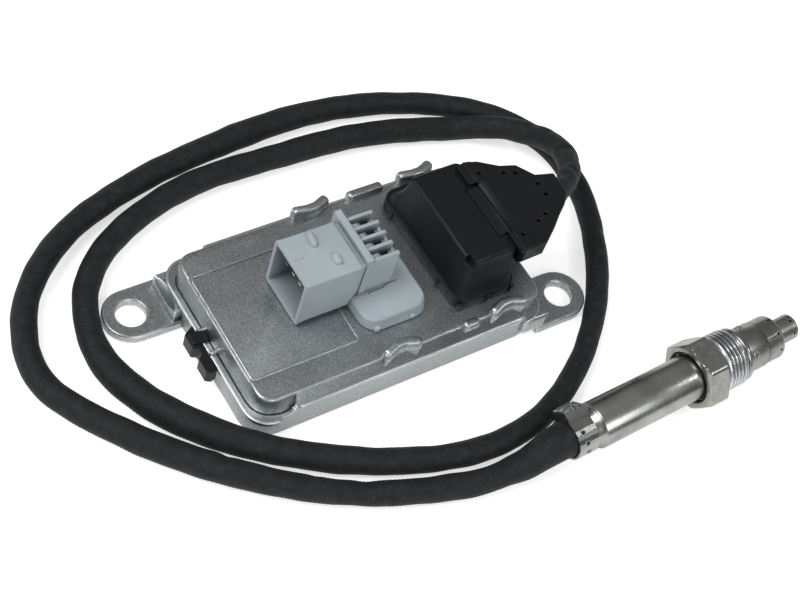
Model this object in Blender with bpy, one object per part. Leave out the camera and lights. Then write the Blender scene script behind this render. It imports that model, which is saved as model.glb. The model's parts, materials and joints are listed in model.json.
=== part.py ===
"""Nitrogen oxide sensor: a die-cast control box, its sleeved cable and an exhaust probe.

Metres, +Z up. The origin lies on the box's base, midway between its two bolt holes.
X runs along the box, Y across it. Each named object is one piece of the real sensor.
"""

import math

import bmesh
import bpy
from mathutils import Vector, geometry

# Shared clearances and smoothness
FIT_GAP = 0.0003
CORNER_STEPS = 5
ROUND_STEPS = 28
SMALL_ROUND_STEPS = 12

# Housing tray with its two bolt ears
TRAY_LENGTH = 0.1098
TRAY_WIDTH = 0.0634
TRAY_CORNER_RADIUS = 0.0092
TRAY_WALL_THICKNESS = 0.0033
TRAY_FLOOR_THICKNESS = 0.0024
TRAY_BASE_CHAMFER = 0.0005
TRAY_END_HEIGHT = 0.0098
SIDE_WALL_RISE = 0.0021
LEDGE_DROP = 0.0016
LEDGE_WIDTH = 0.0020
LIP_RISE = 0.0002
LIP_DEPTH = 0.0024
LIP_OVERHANG_X = 0.0006
LIP_OVERHANG_Y = 0.0011
LIP_CORNER_RADIUS = 0.0080
LIP_END_LENGTH = 0.0095
DRAIN_NOTCH_LENGTH = 0.0040
EAR_HOLE_REACH = 0.0135
EAR_HOLE_INSET = 0.0075
EAR_HOLE_DIAMETER = 0.0100
EAR_OUTER_DIAMETER = 0.0186
EAR_THICKNESS = 0.0032
EAR_EDGE_BEVEL = 0.0004
RAMP_RISE = 0.0048
RAMP_FOOT_RADIUS = 0.0096
RAMP_SPREAD = 0.0038
RAMP_REACH = 0.0024

# Gasket between the tray and the cover
SEAL_GROOVE_WIDTH = 0.0012
SEAL_GROOVE_DEPTH = 0.0012

# Circuit board and the bosses that carry it
BOARD_END_MARGIN = 0.0026
BOARD_SIDE_MARGIN = 0.0034
BOARD_THICKNESS = 0.0016
BOARD_CORNER_RADIUS = 0.0030
BOSS_HEIGHT = 0.0023
BOSS_DIAMETER = 0.0060
BOSS_INSET = 0.0050
BOARD_PEG_DIAMETER = 0.0024
CAPACITOR_DIAMETER = 0.0062
CAPACITOR_HEIGHT = 0.0058
CAPACITOR_END_INSET = 0.0070
CAPACITOR_SIDE_INSET = 0.0130

# Housing cover
COVER_RISE = 0.0082
PLATEAU_END_STEP = 0.00205
PLATEAU_SIDE_STEP = 0.0021
PLATEAU_SHIFT_X = 0.00045
PLATEAU_CORNER_RADIUS = 0.0052
PLATEAU_EDGE_FILLET = 0.0009
COVER_ROOF_THICKNESS = 0.0021
COVER_WALL_THICKNESS = 0.0034
BAND_START_INSET = 0.0114
BAND_END_INSET = 0.0071
BAND_OVERHANG = 0.0029
BAND_EDGE_THICKNESS = 0.0016
RECESS_DEPTH = 0.0004
RECESS_END_GAP = 0.0029
RECESS_WIDTH = 0.0409
RECESS_CORNER_RADIUS = 0.0015

# Ridges cast on the cover's long edges, placed from its right end
HOOK_PLACES = (0.0565, 0.0155)
HOOK_LENGTH = 0.0135
HOOK_FLAT_LENGTH = 0.0034
HOOK_THICKNESS = 0.0021
HOOK_END_REACH = 0.0005
HOOK_MIDDLE_INSET = 0.0012
HOOK_RISE = 0.0040
HOOK_END_DROP = 0.0010
RIDGE_ROOT_DEPTH = 0.0035
FIN_PLACE = 0.0353
FIN_LENGTH = 0.0140
FIN_THICKNESS = 0.0024
FIN_INSET = 0.0002
FIN_RISE = 0.0018
STUB_PLACE = 0.0298
STUB_LENGTH = 0.0060
STUB_THICKNESS = 0.0019
STUB_REACH = 0.0002
STUB_RISE = 0.0010

# Plastic clip hooked over the tray's left end
CLIP_BACK_Y = 0.0086
CLIP_FRONT_Y = -0.0094
CLIP_DEPTH = 0.0040
CLIP_HEIGHT = 0.0066
CLIP_RISE = 0.0018
CLIP_TONGUE_WIDTH = 0.0043
CLIP_TONGUE_Y = 0.0036
CLIP_TONGUE_THICKNESS = 0.0015
CLIP_NOTCH_WIDTH = 0.0088
CLIP_NOTCH_Y = 0.0014

# Supply connector, with heights above the cover's top
TERMINAL_PITCH = 0.0042
TERMINAL_WIDTH = 0.0015
TERMINAL_THICKNESS = 0.0008
TERMINAL_BEND_RADIUS = 0.0012
TERMINAL_TAIL = 0.0012
SUPPLY_TERMINAL_COUNT = 4
SUPPLY_CENTRE_Y = 0.0011
SUPPLY_TERMINAL_RISE = 0.0112
SUPPLY_TERMINAL_RECESS = 0.0038
SUPPLY_TERMINAL_DROP_X = 0.0012
SOCKET_LENGTH = 0.0205
SOCKET_END_X = -0.0093
SOCKET_FLOOR_THICKNESS = 0.0021
SOCKET_WIDTH = 0.0192
SOCKET_HEIGHT = 0.0200
SOCKET_WALL_THICKNESS = 0.0013
SOCKET_CORNER_RADIUS = 0.0010
SOCKET_MOUTH_FLARE = 0.0003
SOCKET_MOUTH_LENGTH = 0.0030
COLLAR_GAP = 0.0013
COLLAR_THICKNESS = 0.0024
COLLAR_LOW_REACH = 0.0094
COLLAR_HIGH_REACH = 0.0119
COLLAR_RISE = 0.0225
RIB_BLOCK_END_X = 0.0043
RIB_BLOCK_RISE = 0.0210
RIB_THICKNESS = 0.0012
SHALLOW_POCKET_RISE = 0.0185
DEEP_POCKET_RISE = 0.0135
SUPPLY_FLANGE_LOW_X = -0.0104
SUPPLY_FLANGE_HIGH_X = 0.0141
SUPPLY_FLANGE_LOW_Y = -0.0203
SUPPLY_FLANGE_HIGH_Y = 0.0195
SUPPLY_FLANGE_RADIUS = 0.0062
SUPPLY_FLANGE_RISE = 0.0050
SUPPLY_FLANGE_DRAFT = 0.0010
SUPPLY_FOOT_RISE = 0.0090
KEY_HEIGHT = 0.0010
CONNECTOR_SEAL_WIDTH = 0.0014
CONNECTOR_SEAL_HEIGHT = 0.0012
CONNECTOR_SEAL_INSET = 0.0024

# Sensor header, with heights above the cover's top
HEADER_TERMINAL_COUNT = 8
HEADER_CENTRE_Y = -0.0012
HEADER_TERMINAL_TIP_X = 0.0385
HEADER_TERMINAL_DROP_X = 0.0262
HEADER_FLANGE_LOW_X = 0.0212
HEADER_FLANGE_HIGH_X = 0.0450
HEADER_FLANGE_LOW_Y = -0.0236
HEADER_FLANGE_HIGH_Y = 0.0250
HEADER_FLANGE_RADIUS = 0.0052
HEADER_FLANGE_RISE = 0.0038
HEADER_SHOULDER_RISE = 0.0065
HEADER_BLOCK_LOW_X = 0.0242
HEADER_BLOCK_HIGH_X = 0.0428
HEADER_BLOCK_LOW_Y = -0.0200
HEADER_BLOCK_HIGH_Y = 0.0176
HEADER_BLOCK_RADIUS = 0.0016
HEADER_BLOCK_RISE = 0.0196
HEADER_TOP_CHAMFER = 0.0007
HEADER_POCKET_START_X = 0.0300
HEADER_POCKET_WALL = 0.0026
HEADER_POCKET_FLOOR_RISE = 0.0075

# Plug shell on the cable's end
SHELL_RISE = 0.0018
SHELL_THICKNESS = 0.0086
SHELL_START_X = 0.0431
SHELL_HALF_WIDTH = 0.0195
SHELL_CENTRE_Y = -0.0038
SHELL_NECK_X = 0.0700
SHELL_BACK_STEPS = ((0.0, 1.0), (0.17, 0.93), (0.40, 0.71), (0.60, 0.62), (0.75, 0.32), (1.0, 0.22))
SHELL_FRONT_STEPS = ((0.0, 0.97), (0.32, 0.96), (0.53, 0.76), (0.70, 0.57), (0.85, 0.42), (1.0, 0.22))
SHELL_EDGE_CHAMFER = 0.0010
SHELL_LIP_REACH = 0.0030
SHELL_LIP_WIDTH = 0.0096
SHELL_NOSE_THICKNESS = 0.0030
TONGUE_END_X = 0.0390
SHELL_DIMPLE_DIAMETER = 0.0015
SHELL_DIMPLE_DEPTH = 0.0016
GROMMET_LENGTH = 0.0070
GROMMET_DIAMETER = 0.0078

# Cable
CABLE_DIAMETER = 0.0074
CABLE_POINT_SPACING = 0.0150
SLEEVE_END_DIAMETER = 0.0125
SLEEVE_FLARE_LENGTH = 0.0240
SLEEVE_LEAD_IN = 0.0045

# Probe, with stations measured from the clamp's rear edge along its own axis
PROBE_START_X = 0.0341
PROBE_START_Y = -0.0750
PROBE_TURN_DEG = 1.7
PROBE_RISE_DEG = 2.2
CLAMP_WIDTH = 0.0077
CLAMP_THICKNESS = 0.0006
BUCKLE_WIDTH = 0.0088
BUCKLE_HEIGHT = 0.0022
BUCKLE_ANGLE_DEG = 42.0
TUBE_DIAMETER = 0.0158
TUBE_WALL = 0.0005
TUBE_NECK_DIAMETER = 0.0130
TUBE_NECK_LENGTH = 0.0018
TUBE_SHOULDER_LENGTH = 0.0008
NUT_START = 0.0511
NUT_HEX_LENGTH = 0.0086
NUT_ACROSS_FLATS = 0.0220
NUT_CHAMFER = 0.0011
NUT_BORE_DIAMETER = 0.0166
NUT_COUNTERBORE_DIAMETER = 0.0186
NUT_COUNTERBORE_DEPTH = 0.0025
SHOULDER_UNDERCUT_DEPTH = 0.0002
THREAD_DIAMETER = 0.0198
THREAD_LENGTH = 0.0103
THREAD_RELIEF_DIAMETER = 0.0178
THREAD_RELIEF_LENGTH = 0.0013
THREAD_CHAMFER = 0.0008
COLLAR_DIAMETER = 0.0189
PROBE_COLLAR_LENGTH = 0.0017
SHIELD_REGISTER_DEPTH = 0.0003
PROBE_BODY_REAR_LENGTH = 0.0200
PROBE_BORE_DIAMETER = 0.0100
PROBE_SPIGOT_LENGTH = 0.0031
OUTER_SHIELD_DIAMETER = 0.0154
OUTER_SHIELD_LENGTH = 0.0161
SHIELD_WALL = 0.0005
SHIELD_EDGE_FILLET = 0.0008
INNER_SHIELD_DIAMETER = 0.0090
INNER_SHIELD_REACH = 0.0094
GAS_HOLE_DIAMETER = 0.0010
GAS_HOLE_COUNT = 8
ELEMENT_WIDTH = 0.0040
ELEMENT_THICKNESS = 0.0012
ELEMENT_TIP_GAP = 0.0030
ELEMENT_LENGTH = 0.0440
PACKING_LENGTH = 0.0037
FRONT_INSULATOR_LENGTH = 0.0051
CONTACT_HOLDER_LENGTH = 0.0190

# The cable's way from the plug shell to the clamp, chosen point by point in millimetres
CABLE_ROUTE_MM = (
    (71.0, -3.5, 32.6), (80.0, 1.5, 29.5), (88.0, 9.0, 24.5), (93.0, 18.0, 19.5),
    (94.5, 27.0, 15.0), (92.0, 36.0, 10.5), (85.5, 44.0, 7.0), (70.0, 52.0, 3.8),
    (38.8, 60.6, 3.7), (6.2, 62.9, 3.7), (-29.7, 62.4, 3.7),
    (-60.5, 52.2, 3.7), (-78.0, 36.6, 3.7), (-84.6, 14.0, 3.7), (-79.5, -6.0, 3.7),
    (-66.0, -25.0, 3.7), (-46.0, -42.0, 3.7), (-21.0, -56.0, 3.7), (7.0, -64.5, 3.7),
    (33.0, -63.0, 3.7), (58.0, -51.0, 3.7), (79.0, -32.0, 3.7), (93.5, -10.0, 3.7),
    (101.5, 12.0, 3.7), (100.5, 35.0, 3.7), (85.0, 55.5, 3.7), (58.0, 69.5, 3.7),
    (26.0, 76.0, 3.7), (-9.0, 75.0, 3.7), (-44.0, 70.0, 3.7), (-76.0, 58.5, 3.7),
    (-97.5, 38.5, 3.7), (-104.5, 12.5, 3.7), (-90.5, -13.5, 3.7), (-66.0, -40.0, 3.7),
    (-36.0, -61.0, 3.7), (-2.0, -73.6, 3.8), (17.0, -75.9, 5.6),
)

# Sizes that follow from those above, tray and cover first
TRAY_SIDE_HEIGHT = TRAY_END_HEIGHT + SIDE_WALL_RISE
LEDGE_HEIGHT = TRAY_END_HEIGHT - LEDGE_DROP
LIP_TOP_HEIGHT = TRAY_END_HEIGHT + LIP_RISE
CLIP_TOP_HEIGHT = TRAY_END_HEIGHT + CLIP_RISE
CLIP_BOTTOM_HEIGHT = CLIP_TOP_HEIGHT - CLIP_HEIGHT
RAMP_TOP_HEIGHT = EAR_THICKNESS + RAMP_RISE
EAR_HOLE_SPACING_X = TRAY_LENGTH + 2 * EAR_HOLE_REACH
EAR_HOLE_SPACING_Y = TRAY_WIDTH - 2 * EAR_HOLE_INSET
BOARD_LENGTH = TRAY_LENGTH - 2 * (TRAY_WALL_THICKNESS + BOARD_END_MARGIN)
BOARD_WIDTH = TRAY_WIDTH - 2 * (TRAY_WALL_THICKNESS + BOARD_SIDE_MARGIN)
PLATEAU_LENGTH = TRAY_LENGTH - 2 * PLATEAU_END_STEP
PLATEAU_WIDTH = TRAY_WIDTH - 2 * PLATEAU_SIDE_STEP
PLATEAU_EDGE_Y = PLATEAU_WIDTH / 2
COVER_LEFT_X = PLATEAU_SHIFT_X - PLATEAU_LENGTH / 2
COVER_RIGHT_X = PLATEAU_SHIFT_X + PLATEAU_LENGTH / 2
COVER_TOP_HEIGHT = TRAY_END_HEIGHT + COVER_RISE
BAND_START_X = COVER_LEFT_X + BAND_START_INSET
BAND_END_X = COVER_RIGHT_X - BAND_END_INSET
BAND_EDGE_HEIGHT = TRAY_SIDE_HEIGHT + BAND_EDGE_THICKNESS
RECESS_END_X = SUPPLY_FLANGE_LOW_X - RECESS_END_GAP
HOOK_CENTRES_X = tuple(COVER_RIGHT_X - place for place in HOOK_PLACES)
HOOK_END_Y = PLATEAU_EDGE_Y + HOOK_END_REACH
HOOK_MIDDLE_Y = PLATEAU_EDGE_Y - HOOK_MIDDLE_INSET
HOOK_TOP_HEIGHT = COVER_TOP_HEIGHT + HOOK_RISE
RIDGE_FOOT_HEIGHT = COVER_TOP_HEIGHT - RIDGE_ROOT_DEPTH
FIN_CENTRE_X = COVER_RIGHT_X - FIN_PLACE
FIN_Y = PLATEAU_EDGE_Y - FIN_INSET
FIN_TOP_HEIGHT = COVER_TOP_HEIGHT + FIN_RISE
STUB_CENTRE_X = COVER_RIGHT_X - STUB_PLACE
STUB_Y = -PLATEAU_EDGE_Y - STUB_REACH
STUB_TOP_HEIGHT = COVER_TOP_HEIGHT + STUB_RISE

# Sizes that follow on the connectors and the plug
SOCKET_MOUTH_X = SOCKET_END_X - SOCKET_LENGTH
SOCKET_FLOOR_X = SOCKET_END_X - SOCKET_FLOOR_THICKNESS
SUPPLY_TERMINAL_TIP_X = SOCKET_MOUTH_X + SUPPLY_TERMINAL_RECESS
SUPPLY_TERMINAL_HEIGHT = COVER_TOP_HEIGHT + SUPPLY_TERMINAL_RISE
COLLAR_START_X = SOCKET_END_X + COLLAR_GAP
COLLAR_LOW_Y = SUPPLY_CENTRE_Y - COLLAR_LOW_REACH
COLLAR_HIGH_Y = SUPPLY_CENTRE_Y + COLLAR_HIGH_REACH
COLLAR_TOP_HEIGHT = COVER_TOP_HEIGHT + COLLAR_RISE
RIB_BLOCK_TOP_HEIGHT = COVER_TOP_HEIGHT + RIB_BLOCK_RISE
SHALLOW_POCKET_HEIGHT = COVER_TOP_HEIGHT + SHALLOW_POCKET_RISE
DEEP_POCKET_HEIGHT = COVER_TOP_HEIGHT + DEEP_POCKET_RISE
SUPPLY_FLANGE_TOP_HEIGHT = COVER_TOP_HEIGHT + SUPPLY_FLANGE_RISE
SUPPLY_FOOT_HEIGHT = COVER_TOP_HEIGHT + SUPPLY_FOOT_RISE
HEADER_FLANGE_TOP_HEIGHT = COVER_TOP_HEIGHT + HEADER_FLANGE_RISE
HEADER_SHOULDER_HEIGHT = COVER_TOP_HEIGHT + HEADER_SHOULDER_RISE
HEADER_BLOCK_TOP_HEIGHT = COVER_TOP_HEIGHT + HEADER_BLOCK_RISE
HEADER_POCKET_FLOOR_HEIGHT = COVER_TOP_HEIGHT + HEADER_POCKET_FLOOR_RISE
HEADER_POCKET_TOP_HEIGHT = HEADER_BLOCK_TOP_HEIGHT - HEADER_POCKET_WALL
HEADER_TERMINAL_HEIGHT = (HEADER_POCKET_FLOOR_HEIGHT + HEADER_POCKET_TOP_HEIGHT) / 2
SHELL_TOP_HEIGHT = HEADER_BLOCK_TOP_HEIGHT + SHELL_RISE


def clear_scene():
    """Remove every object, so that the model starts from nothing."""
    for old in list(bpy.data.objects):
        bpy.data.objects.remove(old, do_unlink=True)


def make_material(name, colour, roughness, metallic=0.0):
    """Return a Principled material of one colour."""
    material = bpy.data.materials.new(name)
    material.use_nodes = True
    shader = material.node_tree.nodes["Principled BSDF"]
    shader.inputs["Base Color"].default_value = (*colour, 1.0)
    shader.inputs["Roughness"].default_value = roughness
    shader.inputs["Metallic"].default_value = metallic
    return material


def add_solid(name, shape, material=None, parent=None):
    """Turn a bmesh into an object. Without a material it is a helper shape, hidden in renders."""
    bmesh.ops.remove_doubles(shape, verts=shape.verts, dist=1e-7)
    bmesh.ops.recalc_face_normals(shape, faces=shape.faces)
    mesh = bpy.data.meshes.new(name)
    shape.to_mesh(mesh)
    shape.free()
    solid = bpy.data.objects.new(name, mesh)
    bpy.context.scene.collection.objects.link(solid)
    solid.parent = parent
    if material is None:
        solid.hide_render = True
        solid.display_type = "WIRE"
    else:
        mesh.materials.append(material)
        mesh.shade_smooth()
        mesh.set_sharp_from_angle(angle=math.radians(32))
    return solid


def combine(target, tools, operation):
    """Join tools to the target, cut them from it or keep what they share."""
    for tool in tools:
        modifier = target.modifiers.new(f"{operation.lower()} {tool.name}", "BOOLEAN")
        modifier.operation = operation
        modifier.solver = "EXACT"
        modifier.object = tool


def rounded_rectangle(x_low, x_high, y_low, y_high, radius, steps=CORNER_STEPS):
    """Outline of a rectangle whose corners are arcs, counterclockwise."""
    corners = (
        (x_high - radius, y_low + radius, -90),
        (x_high - radius, y_high - radius, 0),
        (x_low + radius, y_high - radius, 90),
        (x_low + radius, y_low + radius, 180),
    )
    outline = []
    for centre_x, centre_y, start in corners:
        for step in range(steps + 1):
            angle = math.radians(start + 90 * step / steps)
            outline.append((centre_x + radius * math.cos(angle), centre_y + radius * math.sin(angle)))
    return outline


def centred_rectangle(length, width, radius, shift_x=0.0, steps=CORNER_STEPS):
    """Rounded rectangle about the origin, moved along X where asked."""
    return rounded_rectangle(shift_x - length / 2, shift_x + length / 2, -width / 2, width / 2, radius, steps)


def at_height(outline, z):
    """Lay an XY outline at a height."""
    return [(x, y, z) for x, y in outline]


def at_station(outline, x):
    """Stand a YZ outline at a place along X."""
    return [(x, y, z) for y, z in outline]


def at_side(outline, y):
    """Stand an XZ outline at a place along Y."""
    return [(x, y, z) for x, z in outline]


def loft(name, rings, material=None, parent=None):
    """Skin a row of rings with equal point counts and close both ends."""
    shape = bmesh.new()
    rows = [[shape.verts.new(point) for point in ring] for ring in rings]
    count = len(rows[0])
    for low, high in zip(rows, rows[1:]):
        for index in range(count):
            after = (index + 1) % count
            shape.faces.new((low[index], low[after], high[after], high[index]))
    shape.faces.new(rows[0])
    shape.faces.new(rows[-1])
    return add_solid(name, shape, material, parent)


def frame_ring(name, outer, inner, low, high, material=None):
    """A flat ring between two outlines of equal point count."""
    shape = bmesh.new()
    rows = []
    for outline, z in ((outer, low), (outer, high), (inner, high), (inner, low)):
        rows.append([shape.verts.new((x, y, z)) for x, y in outline])
    count = len(outer)
    for row, following in zip(rows, rows[1:] + rows[:1]):
        for index in range(count):
            after = (index + 1) % count
            shape.faces.new((row[index], row[after], following[after], following[index]))
    return add_solid(name, shape, material)


def turned(name, profile, material=None, parent=None, axis="X", centre=(0, 0, 0), steps=ROUND_STEPS):
    """Revolve a closed profile of (station, radius) points about an axis along X or Z."""
    shape = bmesh.new()
    along = Vector((1, 0, 0)) if axis == "X" else Vector((0, 0, 1))
    across = Vector((0, 0, 1)) if axis == "X" else Vector((1, 0, 0))
    centre = Vector(centre)
    points = [shape.verts.new(centre + along * station + across * radius) for station, radius in profile]
    edges = [shape.edges.new((a, b)) for a, b in zip(points, points[1:] + points[:1])]
    bmesh.ops.spin(
        shape,
        geom=points + edges,
        cent=centre,
        axis=along,
        dvec=(0, 0, 0),
        angle=math.tau,
        steps=steps,
        use_merge=True,
    )
    bmesh.ops.remove_doubles(shape, verts=shape.verts, dist=1e-7)
    bmesh.ops.dissolve_degenerate(shape, edges=shape.edges, dist=1e-8)
    loose = [edge for edge in shape.edges if not edge.link_faces]
    bmesh.ops.delete(shape, geom=loose, context="EDGES")
    return add_solid(name, shape, material, parent)


def disc_profile(low, high, radius):
    """Profile of a plain cylinder for turning."""
    return [(low, 0), (low, radius), (high, radius), (high, 0)]


def tube_profile(low, high, inner, outer):
    """Profile of a plain tube for turning."""
    return [(low, inner), (low, outer), (high, outer), (high, inner)]


def block(name, x_range, y_range, z_range, material=None, parent=None):
    """A plain box, mostly used as a cutter."""
    outline = [(x_range[0], y_range[0]), (x_range[1], y_range[0]), (x_range[1], y_range[1]), (x_range[0], y_range[1])]
    return loft(name, [at_height(outline, z_range[0]), at_height(outline, z_range[1])], material, parent)


def thick_line(path, half_width, cap_steps=4):
    """Outline of a bent line of even width with round ends, as (x, y, path index)."""
    spots = [Vector(point) for point in path]
    left, right = [], []
    for index, spot in enumerate(spots):
        before = spots[max(index - 1, 0)]
        after = spots[min(index + 1, len(spots) - 1)]
        forward_in = (spot - before).normalized() if index else (after - spot).normalized()
        forward_out = (after - spot).normalized() if index < len(spots) - 1 else forward_in
        middle = (forward_in + forward_out).normalized()
        normal = Vector((-middle.y, middle.x))
        reach = half_width / max(middle.dot(forward_in), 0.5)
        left.append((spot + normal * reach, index))
        right.append((spot - normal * reach, index))

    def cap(centre, start_direction, index):
        ring = []
        for step in range(1, cap_steps):
            turn = -math.pi * step / cap_steps
            cosine, sine = math.cos(turn), math.sin(turn)
            arm = Vector((
                start_direction.x * cosine - start_direction.y * sine,
                start_direction.x * sine + start_direction.y * cosine,
            ))
            ring.append((centre + arm, index))
        return ring

    last = len(spots) - 1
    outline = left
    outline += cap(spots[last], left[last][0] - spots[last], last)
    outline += right[::-1]
    outline += cap(spots[0], right[0][0] - spots[0], 0)
    return [(point.x, point.y, index) for point, index in outline]


def ridge(name, path, tops, thickness, foot, material=None):
    """A cast ridge along a bent line, with a rounded crest whose height follows tops."""
    crest = thickness * 0.36
    rings = []
    for inset, drop in ((0, None), (0, crest), (crest * 0.3, crest * 0.3), (crest, 0)):
        ring = []
        for x, y, index in thick_line(path, thickness / 2 - inset):
            ring.append((x, y, foot if drop is None else tops[index] - drop))
        rings.append(ring)
    return loft(name, rings, material)


def tray_outline(inset):
    """The tray wall's outline, pulled in by an inset."""
    return centred_rectangle(
        TRAY_LENGTH - 2 * inset,
        TRAY_WIDTH - 2 * inset,
        TRAY_CORNER_RADIUS - inset * 0.9,
    )


def rebate_inset():
    """How far the upper rebate's wall stands inside the tray's outer wall."""
    return TRAY_WALL_THICKNESS - LEDGE_WIDTH


def ear_outline(side, steps=12):
    """Plan of an ear: a half circle round the bolt hole, run back into the wall."""
    hole_x = side * EAR_HOLE_SPACING_X / 2
    hole_y = -side * EAR_HOLE_SPACING_Y / 2
    root_x = side * (TRAY_LENGTH / 2 - TRAY_WALL_THICKNESS * 0.5)
    radius = EAR_OUTER_DIAMETER / 2
    outline = [(root_x, hole_y - side * radius)]
    for step in range(steps + 1):
        angle = math.pi * (step / steps - 0.5)
        outline.append((hole_x + side * radius * math.cos(angle), hole_y + side * radius * math.sin(angle)))
    outline.append((root_x, hole_y + side * radius))
    return outline


def make_ear(side):
    """One bolt ear with a small edge bevel."""
    outline = ear_outline(side)
    centre_x = side * EAR_HOLE_SPACING_X / 2
    centre_y = -side * EAR_HOLE_SPACING_Y / 2
    shrink = 1 - EAR_EDGE_BEVEL / (EAR_OUTER_DIAMETER / 2)
    small = []
    for x, y in outline:
        small_x = centre_x + (x - centre_x) * shrink if abs(x) > abs(centre_x) else x
        small.append((small_x, centre_y + (y - centre_y) * shrink))
    rings = [
        at_height(outline, 0.0),
        at_height(outline, EAR_THICKNESS - EAR_EDGE_BEVEL),
        at_height(small, EAR_THICKNESS),
    ]
    return loft(f"ear_{side}", rings)


def make_ramp(side):
    """The fillet that climbs from an ear to the wall, dished round the bolt head."""
    hole = (side * EAR_HOLE_SPACING_X / 2, -side * EAR_HOLE_SPACING_Y / 2, 0)
    outer_y = -side * (TRAY_WIDTH / 2 - 0.0001)
    inner_y = -side * (EAR_HOLE_SPACING_Y / 2 - EAR_OUTER_DIAMETER / 2 + 0.0016)
    near_x = side * (TRAY_LENGTH / 2 - TRAY_WALL_THICKNESS)
    far_x = side * (TRAY_LENGTH / 2 + RAMP_REACH)
    ramp = block(
        f"ramp_{side}",
        sorted((near_x, far_x)),
        sorted((inner_y, outer_y)),
        (EAR_THICKNESS / 2, RAMP_TOP_HEIGHT),
    )
    climb = RAMP_TOP_HEIGHT - EAR_THICKNESS
    extra = 0.001
    slope = RAMP_SPREAD / climb
    dish = turned(
        f"ramp_dish_{side}",
        [
            (EAR_THICKNESS, 0),
            (EAR_THICKNESS, RAMP_FOOT_RADIUS),
            (RAMP_TOP_HEIGHT + extra, RAMP_FOOT_RADIUS + RAMP_SPREAD + extra * slope),
            (RAMP_TOP_HEIGHT + extra, 0),
        ],
        axis="Z",
        centre=hole,
        steps=48,
    )
    combine(ramp, [dish], "DIFFERENCE")
    return ramp


def make_end_lip(side):
    """The raised lip round one short end of the tray, with cut ends on both long sides."""
    rings = []
    for inset, z in ((0.0011, LIP_TOP_HEIGHT - LIP_DEPTH), (0, LIP_TOP_HEIGHT - LIP_DEPTH + 0.0009),
                     (0, LIP_TOP_HEIGHT - 0.0004), (0.0004, LIP_TOP_HEIGHT)):
        half_x = TRAY_LENGTH / 2 + LIP_OVERHANG_X - inset
        half_y = TRAY_WIDTH / 2 + LIP_OVERHANG_Y - inset
        radius = LIP_CORNER_RADIUS - inset
        cut_x = side * (TRAY_LENGTH / 2 + LIP_OVERHANG_X - LIP_END_LENGTH)
        ring = [(cut_x, -side * half_y, z)]
        for corner in (-1, 1):
            for step in range(CORNER_STEPS + 1):
                angle = math.radians((corner - 1) * 45 + 90 * step / CORNER_STEPS)
                x = half_x - radius + radius * math.cos(angle)
                y = corner * (half_y - radius) + radius * math.sin(angle)
                ring.append((side * x, side * y, z))
        ring.append((cut_x, side * half_y, z))
        rings.append(ring)
    return loft(f"end_lip_{side}", rings)


def boss_places():
    """Centres of the four bosses that carry the board."""
    reach_x = BOARD_LENGTH / 2 - BOSS_INSET
    reach_y = BOARD_WIDTH / 2 - BOSS_INSET
    return [(x * reach_x, y * reach_y) for x in (-1, 1) for y in (-1, 1)]


def board_bottom():
    """Height of the board's underside, resting on its bosses."""
    return TRAY_FLOOR_THICKNESS + BOSS_HEIGHT + FIT_GAP


def make_boss(index, place):
    """A boss with a locating peg that passes through the board."""
    floor = TRAY_FLOOR_THICKNESS / 2
    top = TRAY_FLOOR_THICKNESS + BOSS_HEIGHT
    peg_top = board_bottom() + BOARD_THICKNESS + 0.0006
    profile = [
        (floor, 0),
        (floor, BOSS_DIAMETER / 2),
        (top, BOSS_DIAMETER / 2),
        (top, BOARD_PEG_DIAMETER / 2),
        (peg_top, BOARD_PEG_DIAMETER / 2),
        (peg_top, 0),
    ]
    return turned(f"boss_{index}", profile, axis="Z", centre=(*place, 0), steps=SMALL_ROUND_STEPS)


def seal_outlines(margin):
    """Outer and inner outlines of the seal groove, narrowed by a margin."""
    middle = TRAY_WALL_THICKNESS - LEDGE_WIDTH / 2
    half = SEAL_GROOVE_WIDTH / 2 - margin
    return tray_outline(middle - half), tray_outline(middle + half)


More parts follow.
